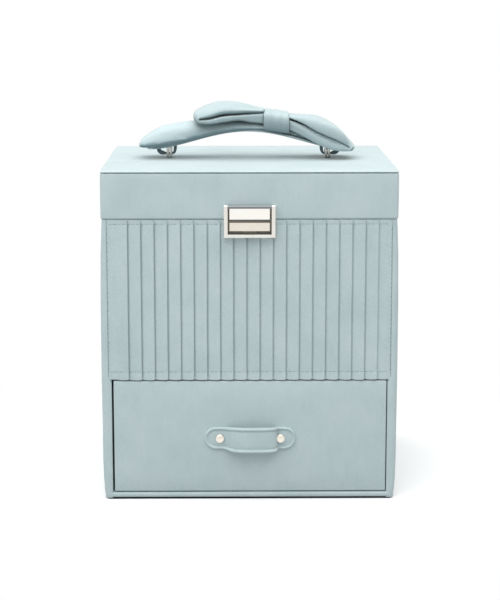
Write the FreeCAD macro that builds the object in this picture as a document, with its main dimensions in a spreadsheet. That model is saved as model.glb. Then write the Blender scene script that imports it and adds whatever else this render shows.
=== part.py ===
import FreeCAD, Part
import Sketcher
import math
import os
import re

# A makeup box: a fabric-covered case with a pleated front and a drawer, a hinged lid with a strap
# handle and a bow, a lift-out tray and a push latch.
# Millimetres, X to the right, Y to the back, Z up, the floor at zero, the case centred on X and Y.
doc = FreeCAD.newDocument("makeup_box")
sheet = doc.addObject("Spreadsheet::Sheet", "sizes")

SIZES = {
    # Case boards
    "case_width": 217.8,
    "case_depth": 192.8,
    "case_height": 213.4,
    "wall_thick": 5.5,
    "bottom_thick": 4.0,
    "deck_thick": 4.0,
    "bay_height": 87.3,
    "felt_thick": 1.2,
    "felt_inset": 0.5,
    # Fabric cover and linings
    "wrap_thick": 1.1,
    "side_bulge": 1.2,
    "corner_cut": 1.6,
    "lining_thick": 0.8,
    "lining_drop": 1.0,
    # Pleated front
    "panel_margin": 3.3,
    "pleat_backing": 0.5,
    "pleat_height": 1.0,
    "pleat_pitch": 9.78,
    "pleat_margin": 5.4,
    # Tray and its ledges
    "ledge_width": 6.0,
    "ledge_height": 6.0,
    "tray_drop": 3.0,
    "tray_height": 36.0,
    "tray_clear": 0.8,
    "tray_wall": 2.4,
    "divider_thick": 2.0,
    "divider_drop": 4.0,
    "divider_clear": 0.2,
    "tray_split": 12.0,
    "tray_cross": 34.0,
    # Lid boards and cover
    "parting_gap": 0.6,
    "lid_height": 35.0,
    "lid_wall": 5.0,
    "lid_top_thick": 4.0,
    "cover_thick": 1.5,
    "cover_round": 1.0,
    "seam_gap": 0.4,
    # Mirror
    "mirror_margin": 10.0,
    "mirror_border": 9.0,
    "glass_thick": 2.0,
    "glass_lap": 3.0,
    "glass_clear": 0.3,
    "lip_thick": 1.2,
    # Hinges
    "hinge_spread": 120.0,
    "hinge_width": 24.0,
    "leaf_height": 14.0,
    "leaf_thick": 1.0,
    "knuckle_radius": 2.2,
    "pin_radius": 1.0,
    "running_fit": 0.05,
    "knuckle_gap": 0.2,
    "hinge_clear": 0.15,
    "screw_radius": 0.9,
    "screw_head_radius": 1.7,
    "screw_head_thick": 0.7,
    "screw_bite": 3.5,
    "screw_inset": 4.5,
    "screw_fit": 0.05,
    # Latch
    "latch_width": 38.0,
    "latch_height": 24.1,
    "latch_top": 10.6,
    "side_rail": 2.8,
    "top_rail": 2.3,
    "bottom_rail": 2.7,
    "rail_thick": 2.2,
    "rail_edge": 0.5,
    "pass_gap": 0.3,
    "plate_side_gap": 1.4,
    "plate_top_gap": 0.2,
    "plate_thick": 3.3,
    "button_drop": 1.8,
    "button_height": 6.1,
    "button_thick": 1.0,
    "button_travel": 1.0,
    "button_stop_gap": 0.1,
    "base_thick": 0.8,
    "stem_radius": 1.6,
    "stem_fit": 0.1,
    "clip_radius": 3.2,
    "clip_thick": 0.8,
    "clip_bore_radius": 3.6,
    "clip_bore_depth": 2.6,
    "nib_width": 10.0,
    "nib_radius": 0.8,
    "prong_radius": 0.9,
    "prong_length": 3.5,
    "prong_fit": 0.1,
    "prong_inset": 4.0,
    "spring_thick": 0.25,
    "spring_length": 18.0,
    "spring_width": 2.6,
    # Drawer
    "drawer_side_gap": 1.0,
    "drawer_shift": 0.4,
    "drawer_low_gap": 0.9,
    "drawer_top_gap": 0.9,
    "drawer_back_gap": 2.0,
    "drawer_set_back": 0.2,
    "runner_gap": 0.2,
    "drawer_wall": 4.0,
    "drawer_base": 3.0,
    "drawer_side_drop": 10.0,
    "drawer_front_thick": 5.0,
    "drawer_cover": 0.9,
    "drawer_round": 0.6,
    # Drawer pull
    "pull_length": 67.6,
    "pull_height": 16.6,
    "pull_thick": 1.9,
    "pull_rise": 8.3,
    "pull_foot_gap": 0.4,
    "pull_ramp": 3.5,
    "pull_end_round": 6.0,
    "pull_level": 42.5,
    "rivet_spread": 45.5,
    "rivet_head_radius": 3.35,
    "rivet_head_thick": 1.3,
    "rivet_crown": 0.5,
    "rivet_radius": 1.5,
    "rivet_fit": 0.1,
    "washer_radius": 3.5,
    "washer_thick": 0.8,
    "washer_bore_radius": 3.8,
    "washer_bore_depth": 1.2,
    # Handle posts
    "post_spread": 124.0,
    "post_height": 9.0,
    "post_base_thick": 0.8,
    "post_head_thick": 1.4,
    "post_leg_thick": 1.4,
    "post_width": 4.4,
    "stud_radius": 2.0,
    "stud_fit": 0.1,
    "nut_radius": 5.0,
    "nut_thick": 1.2,
    "nut_bore_radius": 5.3,
    "nut_bore_depth": 2.0,
    # Handle strap
    "strap_left": 85.5,
    "strap_right": 79.5,
    "arch_half": 84.0,
    "arch_rise": 14.6,
    "strap_width": 36.0,
    "strap_edge": 4.0,
    "strap_crown": 11.5,
    "strap_backing": 1.6,
    "layer_gap": 0.15,
    "seat_gap": 0.3,
    "tab_width": 6.0,
    "tab_fit": 0.3,
    "tab_thick": 1.6,
    "tab_low": 3.0,
    "tab_out": 10.0,
    "tab_in": 9.0,
    # Bow
    "knot_left": 12.0,
    "knot_right": 31.5,
    "knot_depth": 26.0,
    "knot_height": 12.5,
    "knot_round": 3.0,
    "bow_left_reach": 55.0,
    "bow_right_reach": 51.5,
    "loop_height": 15.0,
    "ribbon_width": 42.0,
    "bow_clear": 1.0,
    # How far cutting tools run past what they cut
    "overrun": 5.0,
}
for row, (alias, value) in enumerate(SIZES.items(), 1):
    sheet.set(f"A{row}", alias)
    sheet.set(f"B{row}", str(value))
    sheet.setAlias(f"B{row}", alias)
doc.recompute()

# Levels and faces that several pieces share, as expressions over the sheet
HALF = "(case_width / 2)"
INNER = "(case_width / 2 - wall_thick)"
FRONT = "(-case_depth / 2)"
BACK = "(case_depth / 2)"
FACE = "(-case_depth / 2 - wrap_thick)"
REAR = "(case_depth / 2 + wrap_thick)"
BAY_FLOOR = "(felt_thick + bottom_thick)"
DECK_LOW = "(felt_thick + bottom_thick + bay_height)"
DECK_TOP = "(felt_thick + bottom_thick + bay_height + deck_thick)"
RIM = "case_height"
LID_LOW = "(case_height + parting_gap)"
LID_TOP = "(case_height + parting_gap + lid_height)"
LID_BOARD_TOP = "(case_height + parting_gap + lid_height - cover_thick)"
LID_CEILING = "(case_height + parting_gap + lid_height - cover_thick - lid_top_thick)"
PANEL = "(case_width / 2 - panel_margin)"
PLEATS = "floor((case_width - 2 * panel_margin - 2 * pleat_margin) / pleat_pitch)"
CREST = "(-case_depth / 2 - pleat_backing - pleat_height)"

AXIS_TURNS = {
    "x": FreeCAD.Rotation(FreeCAD.Vector(0, 1, 0), 90),
    "y": FreeCAD.Rotation(FreeCAD.Vector(1, 0, 0), -90),
    "z": FreeCAD.Rotation(),
}
subparts = []


def size(alias):
    """A size as a number, read from the sheet."""
    return float(sheet.get(alias))


def expr(text):
    """An expression with each size's name pointed at the sheet."""
    return re.sub(r"[a-z_]+", lambda word: f"sizes.{word[0]}" if word[0] in SIZES else word[0], text)


def keep(subpart):
    """Lists a finished sub-part for writing."""
    subparts.append(subpart)
    return subpart


def box(name, x, y, z):
    """A board between two faces on each axis, given as expressions."""
    board = doc.addObject("Part::Box", name)
    for side, axis, (low, high) in zip(("Length", "Width", "Height"), "xyz", (x, y, z)):
        board.setExpression(side, expr(f"({high}) - ({low})"))
        board.setExpression(f"Placement.Base.{axis}", expr(low))
    return board


def rod(name, along, radius, start, length):
    """A round bar from a start point along one axis."""
    bar = doc.addObject("Part::Cylinder", name)
    bar.Placement = FreeCAD.Placement(FreeCAD.Vector(), AXIS_TURNS[along])
    bar.setExpression("Radius", expr(radius))
    bar.setExpression("Height", expr(length))
    for axis, place in zip("xyz", start):
        bar.setExpression(f"Placement.Base.{axis}", expr(place))
    return bar


def group(name, pieces):
    """Separate solids that share one node."""
    several = doc.addObject("Part::Compound", name)
    several.Links = pieces
    return several


def cut(name, base, tools):
    """A base with tools taken out of it."""
    result = doc.addObject("Part::Cut", name)
    result.Base = base
    result.Tool = tools[0] if len(tools) == 1 else group(f"{name}_tools", tools)
    return result


def fuse(name, pieces):
    """Pieces joined into one solid."""
    whole = doc.addObject("Part::MultiFuse", name)
    whole.Shapes = pieces
    whole.Refine = True
    return whole


def outline(body, name, plane, points, offset="0"):
    """A closed sketch whose corners are expressions, on one of the body's own planes."""
    sketch = body.newObject("Sketcher::SketchObject", name)
    sketch.AttachmentSupport = [(next(f for f in body.Origin.OriginFeatures if f.Role == plane), "")]
    sketch.MapMode = "FlatFace"
    sketch.setExpression("AttachmentOffset.Base.z", expr(offset))
    count = len(points)
    turns = [2 * math.pi * corner / count for corner in range(count)]
    ring = [FreeCAD.Vector(math.cos(turn), math.sin(turn), 0) for turn in turns]
    for corner in range(count):
        sketch.addGeometry(Part.LineSegment(ring[corner], ring[(corner + 1) % count]))
    for corner in range(count):
        sketch.addConstraint(Sketcher.Constraint("Coincident", corner, 2, (corner + 1) % count, 1))
    for corner, place in enumerate(points):
        for kind, start, text in zip(("DistanceX", "DistanceY"), ring[corner], place):
            index = sketch.addConstraint(Sketcher.Constraint(kind, -1, 1, corner, 1, start))
            sketch.setExpression(f"Constraints[{index}]", expr(text))
    return sketch


def pad(body, sketch, length):
    """A sketch raised along its normal: up from XY, forward from XZ, right from YZ."""
    feature = body.newObject("PartDesign::Pad", f"{sketch.Name}_pad")
    feature.Profile = sketch
    feature.setExpression("Length", expr(length))
    return feature


def pocket(body, sketch, length):
    """A sketch sunk against its normal."""
    feature = body.newObject("PartDesign::Pocket", f"{sketch.Name}_pocket")
    feature.Profile = sketch
    feature.setExpression("Length", expr(length))
    return feature


def dress(body, base, kind, size_name, radius, chosen):
    """A fillet or chamfer on the edges that a test picks."""
    doc.recompute()
    names = [f"Edge{place}" for place, edge in enumerate(base.Shape.Edges, 1) if chosen(edge)]
    feature = body.newObject(f"PartDesign::{kind}", f"{base.Name}_{kind.lower()}")
    feature.Base = (base, names)
    feature.setExpression(size_name, expr(radius))
    return feature


def revolve(body, sketch):
    """A sketch turned about the body's upright axis."""
    feature = body.newObject("PartDesign::Revolution", f"{sketch.Name}_turn")
    feature.Profile = sketch
    feature.ReferenceAxis = (sketch, ["V_Axis"])
    feature.Angle = 360
    return feature


def mirrored(side, near, far):
    """The span between two distances from the middle, on the left or the right."""
    return (near, far) if side == "right" else (f"-({far})", f"-({near})")


def along(edge, axis):
    """Whether an edge is straight and runs along one axis."""
    step = edge.Vertexes[-1].Point - edge.Vertexes[0].Point
    return edge.Length > 0 and abs(abs(step[axis]) - edge.Length) < edge.Length / 1000


# Case: bottom on felt, two sides, back, and the deck between drawer bay and compartment
keep(box(
    "base_felt",
    (f"-{HALF} + felt_inset", f"{HALF} - felt_inset"),
    (f"{FRONT} + felt_inset", f"{BACK} - felt_inset"),
    ("0", "felt_thick"),
))
keep(box("bottom_board", (f"-{HALF}", HALF), (FRONT, BACK), ("felt_thick", BAY_FLOOR)))
for side in ("left", "right"):
    keep(box(f"{side}_side_board", mirrored(side, INNER, HALF), (FRONT, BACK), (BAY_FLOOR, RIM)))
keep(box("deck_board", (f"-{INNER}", INNER), (FRONT, f"{BACK} - wall_thick"), (DECK_LOW, DECK_TOP)))

# Case cover: bulged side wraps that turn the front corners, a back wrap and the sill strip
OUT = "(case_width / 2 + wrap_thick + side_bulge)"
for side, sign in (("left", "-"), ("right", "")):
    body = doc.addObject("PartDesign::Body", f"{side}_wrap_profile")
    plan = outline(body, f"{side}_wrap_plan", "XY_Plane", [
        (f"{sign}{HALF}", FRONT),
        (f"{sign}{INNER}", FRONT),
        (f"{sign}{INNER}", FACE),
        (f"{sign}({OUT} - corner_cut)", FACE),
        (f"{sign}{OUT}", f"{FACE} + corner_cut"),
        (f"{sign}{OUT}", REAR),
        (f"{sign}{HALF}", REAR),
    ], "felt_thick")
    pad(body, plan, f"{RIM} - felt_thick")
    swell = doc.addObject("Part::Cylinder", f"{side}_wrap_swell")
    swell.Placement = FreeCAD.Placement(FreeCAD.Vector(), AXIS_TURNS["y"])
    reach = "((case_height ^ 2 / 4 + side_bulge ^ 2) / (2 * side_bulge))"
    swell.setExpression("Radius", expr(reach))
    swell.setExpression("Height", expr(f"{REAR} - ({FACE}) + 2 * overrun"))
    swell.setExpression("Placement.Base.x", expr(f"{sign}({OUT} - {reach})"))
    swell.setExpression("Placement.Base.y", expr(f"{FACE} - overrun"))
    swell.setExpression("Placement.Base.z", expr("case_height / 2"))
    bulged = doc.addObject("Part::Common", f"{side}_wrap_bulged")
    bulged.Base = body
    bulged.Tool = swell
    room = box(
        f"{side}_wrap_room",
        mirrored(side, f"{INNER} - overrun", PANEL),
        (f"{FACE} - overrun", FRONT),
        (DECK_LOW, f"{RIM} + overrun"),
    )
    keep(cut(f"{side}_side_wrap", bulged, [room]))
keep(box("sill_wrap", (f"-{INNER}", INNER), (FACE, FRONT), ("felt_thick", BAY_FLOOR)))

# Latch levels: a frame on the lid hangs over a sprung button on the case
LATCH_TOP = "(case_height + parting_gap + latch_top)"
LATCH_LOW = "(case_height + parting_gap + latch_top - latch_height)"
RAIL_TOP = "(case_height + parting_gap + latch_top - latch_height + bottom_rail)"
PLATE = "(latch_width / 2 - side_rail - plate_side_gap)"
BASE_FACE = "(-case_depth / 2 - pleat_backing - pleat_height - base_thick)"
BUTTON_BACK = f"({BASE_FACE} - button_travel - button_stop_gap)"
BUTTON_FACE = f"({BASE_FACE} - button_travel - button_stop_gap - button_thick)"
BUTTON_TOP = "(case_height - button_drop)"
BUTTON_LOW = "(case_height - button_drop - button_height)"
STEM_LEVEL = "(case_height - button_drop - button_height / 2)"
RAIL_BACK = f"({BUTTON_FACE} - pass_gap)"
CLIP_SEAT = f"({FRONT} + wall_thick - clip_bore_depth)"

# Bores through the pleats and the front board for the latch's stem and prongs
stem_bore = rod(
    "stem_bore", "y", "stem_radius + stem_fit", ("0", f"{BASE_FACE} - overrun", STEM_LEVEL),
    f"{FRONT} - ({BASE_FACE}) + wall_thick + 2 * overrun",
)
clip_bore = rod(
    "clip_bore", "y", "clip_bore_radius", ("0", CLIP_SEAT, STEM_LEVEL), "clip_bore_depth + overrun",
)
base_prong_bores = [
    rod(
        f"{side}_base_prong_bore", "y", "prong_radius + prong_fit",
        (mirrored(side, f"{PLATE} - prong_inset", "0")[side == "left"], BASE_FACE, STEM_LEVEL),
        f"{FRONT} - ({BASE_FACE}) + prong_length + prong_fit",
    )
    for side in ("left", "right")
]

# Front board over the drawer, and the pleated panel glued to it
front_blank = box(
    "front_blank", (f"-{INNER}", INNER), (FRONT, f"{FRONT} + wall_thick"), (DECK_TOP, RIM),
)
keep(cut("front_board", front_blank, [stem_bore, clip_bore, *base_prong_bores]))
pleats = doc.addObject("PartDesign::Body", "pleats")
backing = pad(pleats, outline(pleats, "pleat_backing_plan", "XY_Plane", [
    (f"-{PANEL}", FRONT),
    (f"-{PANEL}", f"{FRONT} - pleat_backing"),
    (PANEL, f"{FRONT} - pleat_backing"),
    (PANEL, FRONT),
], DECK_LOW), f"{RIM} - {DECK_LOW}")
fold_plan = outline(pleats, "pleat_fold_plan", "XY_Plane", [
    (f"-{PANEL} + pleat_margin", f"{FRONT} - pleat_backing"),
    (f"-{PANEL} + pleat_margin + pleat_pitch", CREST),
    (f"-{PANEL} + pleat_margin + pleat_pitch", f"{FRONT} - pleat_backing"),
], DECK_LOW)
fold = pad(pleats, fold_plan, f"{RIM} - {DECK_LOW}")
folds = pleats.newObject("PartDesign::LinearPattern", "pleat_folds")
folds.Originals = [fold]
folds.Direction = (fold_plan, ["H_Axis"])
folds.setExpression("Length", expr(f"pleat_pitch * ({PLEATS} - 1)"))
folds.setExpression("Occurrences", expr(PLEATS))
pleats.Tip = folds
keep(cut("pleated_panel", pleats, [stem_bore, *base_prong_bores]))

# Compartment lining, tray ledges, and the tray with its dividers
lining_out = box(
    "lining_out", (f"-{INNER}", INNER), (f"{FRONT} + wall_thick", f"{BACK} - wall_thick"),
    (DECK_TOP, f"{RIM} - lining_drop"),
)
LINED = f"({INNER} - lining_thick)"
LINED_FRONT = f"({FRONT} + wall_thick + lining_thick)"
LINED_BACK = f"({BACK} - wall_thick - lining_thick)"
lining_in = box(
    "lining_in", (f"-{LINED}", LINED), (LINED_FRONT, LINED_BACK),
    (f"{DECK_TOP} + lining_thick", f"{RIM} + overrun"),
)
keep(cut("compartment_lining", lining_out, [lining_in]))
TRAY_LOW = "(case_height - tray_drop - tray_height)"
TRAY_TOP = "(case_height - tray_drop)"
keep(group("tray_ledges", [
    box(
        f"{side}_tray_ledge", mirrored(side, f"{LINED} - ledge_width", LINED),
        (LINED_FRONT, LINED_BACK), (f"{TRAY_LOW} - ledge_height", TRAY_LOW),
    )
    for side in ("left", "right")
]))
TRAY = f"({LINED} - tray_clear)"
TRAY_FRONT = f"({LINED_FRONT} + tray_clear)"
TRAY_BACK = f"({LINED_BACK} - tray_clear)"
tray_out = box("tray_out", (f"-{TRAY}", TRAY), (TRAY_FRONT, TRAY_BACK), (TRAY_LOW, TRAY_TOP))
tray_in = box(
    "tray_in", (f"-{TRAY} + tray_wall", f"{TRAY} - tray_wall"),
    (f"{TRAY_FRONT} + tray_wall", f"{TRAY_BACK} - tray_wall"),
    (f"{TRAY_LOW} + tray_wall", f"{TRAY_TOP} + overrun"),
)
keep(cut("tray_shell", tray_out, [tray_in]))
DIVIDER_Z = (f"{TRAY_LOW} + tray_wall", f"{TRAY_TOP} - divider_drop")
keep(box(
    "tray_long_divider",
    (f"-{TRAY} + tray_wall + divider_clear", f"{TRAY} - tray_wall - divider_clear"),
    ("tray_split - divider_thick / 2", "tray_split + divider_thick / 2"), DIVIDER_Z,
))
keep(group("tray_cross_dividers", [
    box(
        f"{side}_tray_divider",
        mirrored(side, "tray_cross - divider_thick / 2", "tray_cross + divider_thick / 2"),
        ("tray_split + divider_thick / 2", f"{TRAY_BACK} - tray_wall - divider_clear"), DIVIDER_Z,
    )
    for side in ("left", "right")
]))

# Hinges: two butt hinges on the back, screwed through the cover into the boards
HINGE_Y = "(case_depth / 2 + wrap_thick + knuckle_radius + hinge_clear)"
HINGE_Z = "(case_height + parting_gap / 2)"
KNUCKLE = "(hinge_width / 6 - knuckle_gap / 2)"
CLEAR = "(knuckle_radius + knuckle_gap)"
screw_bores = {"case": [], "lid": []}
screws = {"case": [], "lid": []}
pins = []
for side, sign in (("left", "-"), ("right", "")):
    middle = f"({sign}hinge_spread / 2)"
    pins.append(rod(
        f"{side}_hinge_pin", "x", "pin_radius", (f"{middle} - hinge_width / 2", HINGE_Y, HINGE_Z),
        "hinge_width",
    ))
    pin_bore = rod(
        f"{side}_pin_bore", "x", "pin_radius + running_fit",
        (f"{middle} - hinge_width / 2 - overrun", HINGE_Y, HINGE_Z), "hinge_width + 2 * overrun",
    )
    ends = (f"{middle} - hinge_width / 2", f"{middle} + hinge_width / 2")
    thirds = {
        "case": [(ends[0], f"{middle} - {KNUCKLE} - knuckle_gap"),
                 (f"{middle} + {KNUCKLE} + knuckle_gap", ends[1])],
        "lid": [(f"{middle} - {KNUCKLE}", f"{middle} + {KNUCKLE}")],
    }
    for owner, way in (("case", "-"), ("lid", "")):
        far = f"{HINGE_Z} {way or '+'} leaf_height"
        near = f"{HINGE_Z} {way or '+'} {CLEAR}"
        height = (far, near) if owner == "case" else (near, far)
        neck = (near, HINGE_Z) if owner == "case" else (HINGE_Z, near)
        skin = (REAR, f"{REAR} + leaf_thick")
        pieces = [box(f"{side}_{owner}_leaf_plate", ends, skin, height)]
        for count, (low, high) in enumerate(thirds[owner]):
            pieces.append(box(f"{side}_{owner}_neck_{count}", (low, high), skin, neck))
            pieces.append(rod(
                f"{side}_{owner}_knuckle_{count}", "x", "knuckle_radius", (low, HINGE_Y, HINGE_Z),
                f"({high}) - ({low})",
            ))
        bores = []
        level = f"{HINGE_Z} {way or '+'} ({CLEAR} + leaf_height) / 2"
        for end, place in (("near", f"{middle} - hinge_width / 2 + screw_inset"),
                           ("far", f"{middle} + hinge_width / 2 - screw_inset")):
            name = f"{side}_{owner}_{end}"
            deep = "wrap_thick + leaf_thick + screw_bite"
            start = (place, f"{BACK} - screw_bite", level)
            bores.append(rod(
                f"{name}_screw_bore", "y", "screw_radius + screw_fit",
                (place, f"{BACK} - screw_bite - screw_fit", level), f"{deep} + screw_fit",
            ))
            screws[owner].append(fuse(f"{name}_screw", [
                rod(f"{name}_screw_shank", "y", "screw_radius", start, f"{deep} + screw_head_thick"),
                rod(
                    f"{name}_screw_head", "y", "screw_head_radius",
                    (place, f"{REAR} + leaf_thick", level), "screw_head_thick",
                ),
            ]))
        leaf = fuse(f"{side}_{owner}_leaf_blank", pieces)
        keep(cut(f"{side}_hinge_{owner}_leaf", leaf, [pin_bore, *bores]))
        screw_bores[owner] += bores
keep(group("hinge_pins", pins))
for owner in ("case", "lid"):
    keep(group(f"hinge_{owner}_screws", screws[owner]))
back_blank = box(
    "back_blank", (f"-{INNER}", INNER), (f"{BACK} - wall_thick", BACK), (BAY_FLOOR, RIM),
)
keep(cut("back_board", back_blank, screw_bores["case"]))
back_skin = box("back_skin", (f"-{HALF}", HALF), (BACK, REAR), ("felt_thick", RIM))
keep(cut("back_wrap", back_skin, screw_bores["case"]))

# Lid: four walls under a top board, with bores for the latch's prongs and the handle's studs
LID_BOARD_Z = (LID_LOW, LID_CEILING)
LID_INNER = f"({HALF} - lid_wall)"
FRAME_PRONG = "(latch_width / 2 - side_rail / 2)"
PLATE_LEVEL = f"(({LID_LOW} + {LATCH_TOP} - top_rail) / 2)"
lid_prong_bores = [
    rod(
        f"{side}_{piece}_prong_bore", "y", "prong_radius + prong_fit",
        (mirrored(side, place, "0")[side == "left"], f"{FACE} - overrun", PLATE_LEVEL),
        "overrun + wrap_thick + prong_length + prong_fit",
    )
    for side in ("left", "right")
    for piece, place in (("plate", f"{PLATE} - prong_inset"), ("frame", FRAME_PRONG))
]
stud_bores = [
    rod(
        f"{side}_stud_bore", "z", "stud_radius + stud_fit",
        (mirrored(side, "post_spread / 2", "0")[side == "left"], "0", f"{LID_CEILING} - overrun"),
        "lid_top_thick + cover_thick + 2 * overrun",
    )
    for side in ("left", "right")
]
nut_bores = [
    rod(
        f"{side}_nut_bore", "z", "nut_bore_radius",
        (mirrored(side, "post_spread / 2", "0")[side == "left"], "0", f"{LID_CEILING} - overrun"),
        "nut_bore_depth + overrun",
    )
    for side in ("left", "right")
]
top_blank = box("lid_top_blank", (f"-{HALF}", HALF), (FRONT, BACK), (LID_CEILING, LID_BOARD_TOP))
keep(cut("lid_top_board", top_blank, [*stud_bores, *nut_bores]))
lid_front_blank = box(
    "lid_front_blank", (f"-{HALF}", HALF), (FRONT, f"{FRONT} + lid_wall"), LID_BOARD_Z,
)
keep(cut("lid_front_board", lid_front_blank, lid_prong_bores))
lid_back_blank = box(
    "lid_back_blank", (f"-{HALF}", HALF), (f"{BACK} - lid_wall", BACK), LID_BOARD_Z,
)
keep(cut("lid_back_board", lid_back_blank, screw_bores["lid"]))
for side in ("left", "right"):
    keep(box(
        f"lid_{side}_board", mirrored(side, LID_INNER, HALF),
        (f"{FRONT} + lid_wall", f"{BACK} - lid_wall"), LID_BOARD_Z,
    ))

# Lid cover: a band of fabric round the walls and a padded top panel, with a seam between
band_out = box(
    "band_out", (f"-{HALF} - wrap_thick", f"{HALF} + wrap_thick"), (FACE, REAR),
    (LID_LOW, f"{LID_BOARD_TOP} - seam_gap"),
)
band_in = box(
    "band_in", (f"-{HALF}", HALF), (FRONT, BACK), (f"{LID_LOW} - overrun", f"{LID_TOP} + overrun"),
)
keep(cut("lid_band", band_out, [band_in, *lid_prong_bores, *screw_bores["lid"]]))
cover = doc.addObject("PartDesign::Body", "top_cover")
cover_slab = pad(cover, outline(cover, "top_cover_plan", "XY_Plane", [
    (f"-{HALF} - wrap_thick", FACE),
    (f"{HALF} + wrap_thick", FACE),
    (f"{HALF} + wrap_thick", REAR),
    (f"-{HALF} - wrap_thick", REAR),
], LID_BOARD_TOP), "cover_thick")
slab_top = size("case_height") + size("parting_gap") + size("lid_height")
dress(
    cover, cover_slab, "Fillet", "Radius", "cover_round",
    lambda edge: abs(edge.BoundBox.ZMin - slab_top) < size("cover_round") / 10,
)
keep(cut("lid_top_cover", cover, stud_bores))

# Lid lining, and the mirror held to the ceiling by its frame
LID_LINED = f"({HALF} - lid_wall - lining_thick)"
LID_LINED_Y = (f"({FRONT} + lid_wall + lining_thick)", f"({BACK} - lid_wall - lining_thick)")
lid_lining_out = box(
    "lid_lining_out", (f"-{LID_INNER}", LID_INNER), (f"{FRONT} + lid_wall", f"{BACK} - lid_wall"),
    (f"{LID_LOW} + lining_drop", LID_CEILING),
)
lid_lining_in = box(
    "lid_lining_in", (f"-{LID_LINED}", LID_LINED), LID_LINED_Y,
    (f"{LID_LOW} - overrun", f"{LID_CEILING} - lining_thick"),
)
keep(cut("lid_lining", lid_lining_out, [lid_lining_in]))
MIRROR_TOP = f"({LID_CEILING} - lining_thick)"
MIRROR_LOW = f"({LID_CEILING} - lining_thick - glass_thick - lip_thick)"


def mirror_box(name, inset, low, high):
    """A box centred under the lid, set in from the lining by an expression."""
    return box(
        name, (f"-({LID_LINED} - ({inset}))", f"{LID_LINED} - ({inset})"),
        (f"{LID_LINED_Y[0]} + {inset}", f"{LID_LINED_Y[1]} - ({inset})"), (low, high),
    )


GLASS_INSET = "mirror_margin + mirror_border - glass_lap"
keep(cut("mirror_frame", mirror_box("mirror_frame_out", "mirror_margin", MIRROR_LOW, MIRROR_TOP), [
    mirror_box("mirror_rebate", f"{GLASS_INSET} - glass_clear", f"{MIRROR_TOP} - glass_thick",
               f"{MIRROR_TOP} + overrun"),
    mirror_box("mirror_sight", "mirror_margin + mirror_border", f"{MIRROR_LOW} - overrun", MIRROR_TOP),
]))
keep(mirror_box("mirror_glass", GLASS_INSET, f"{MIRROR_TOP} - glass_thick", MIRROR_TOP))

# Latch frame and upper plate on the lid, each with prongs driven into the lid's front
frame_body = doc.addObject("PartDesign::Body", "frame_body")
ring_depth = f"{CREST} - pass_gap - ({RAIL_BACK}) + rail_thick"
ring_pad = pad(frame_body, outline(frame_body, "frame_ring", "XZ_Plane", [
    ("-latch_width / 2", LATCH_LOW),
    ("latch_width / 2", LATCH_LOW),
    ("latch_width / 2", LATCH_TOP),
    ("-latch_width / 2", LATCH_TOP),
], f"-({CREST} - pass_gap)"), ring_depth)
front_face = -(size("case_depth") / 2 + size("pleat_backing") + size("pleat_height") + size("base_thick")
               + size("button_travel") + size("button_stop_gap") + size("button_thick")
               + size("pass_gap") + size("rail_thick"))
dress(
    frame_body, ring_pad, "Chamfer", "Size", "rail_edge",
    lambda edge: abs(edge.BoundBox.YMax - front_face) < size("rail_edge") / 10,
)
window = outline(frame_body, "frame_window", "XZ_Plane", [
    ("-latch_width / 2 + side_rail", RAIL_TOP),
    ("latch_width / 2 - side_rail", RAIL_TOP),
    ("latch_width / 2 - side_rail", f"{LATCH_TOP} - top_rail"),
    ("-latch_width / 2 + side_rail", f"{LATCH_TOP} - top_rail"),
], f"-({FRONT})")
window_pocket = pocket(frame_body, window, f"{FRONT} - ({RAIL_BACK}) + rail_thick + overrun")
window_pocket.Reversed = True
behind = outline(frame_body, "frame_behind", "XZ_Plane", [
    ("-latch_width / 2 + side_rail", f"{LATCH_LOW} - overrun"),
    ("latch_width / 2 - side_rail", f"{LATCH_LOW} - overrun"),
    ("latch_width / 2 - side_rail", f"{RAIL_TOP} + bottom_rail"),
    ("-latch_width / 2 + side_rail", f"{RAIL_TOP} + bottom_rail"),
], f"-({FRONT})")
behind_pocket = pocket(frame_body, behind, f"{FRONT} - ({RAIL_BACK})")
behind_pocket.Reversed = True
frame_pieces = [frame_body]
plate_pieces = [box(
    "latch_plate_block", (f"-{PLATE}", PLATE), (f"{FACE} - plate_thick", FACE),
    (LID_LOW, f"{LATCH_TOP} - top_rail - plate_top_gap"),
)]
for side in ("left", "right"):
    frame_pieces.append(box(
        f"{side}_frame_foot", mirrored(side, "latch_width / 2 - side_rail", "latch_width / 2"),
        (f"{CREST} - pass_gap - rail_edge", FACE), (LID_LOW, f"{LATCH_TOP} - rail_edge"),
    ))
    frame_pieces.append(rod(
        f"{side}_frame_prong", "y", "prong_radius",
        (mirrored(side, FRAME_PRONG, "0")[side == "left"], f"{FACE} - rail_edge", PLATE_LEVEL),
        "rail_edge + wrap_thick + prong_length",
    ))
    plate_pieces.append(rod(
        f"{side}_plate_prong", "y", "prong_radius",
        (mirrored(side, f"{PLATE} - prong_inset", "0")[side == "left"], f"{FACE} - rail_edge", PLATE_LEVEL),
        "rail_edge + wrap_thick + prong_length",
    ))
keep(fuse("latch_frame", frame_pieces))
keep(fuse("latch_lid_plate", plate_pieces))

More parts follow.
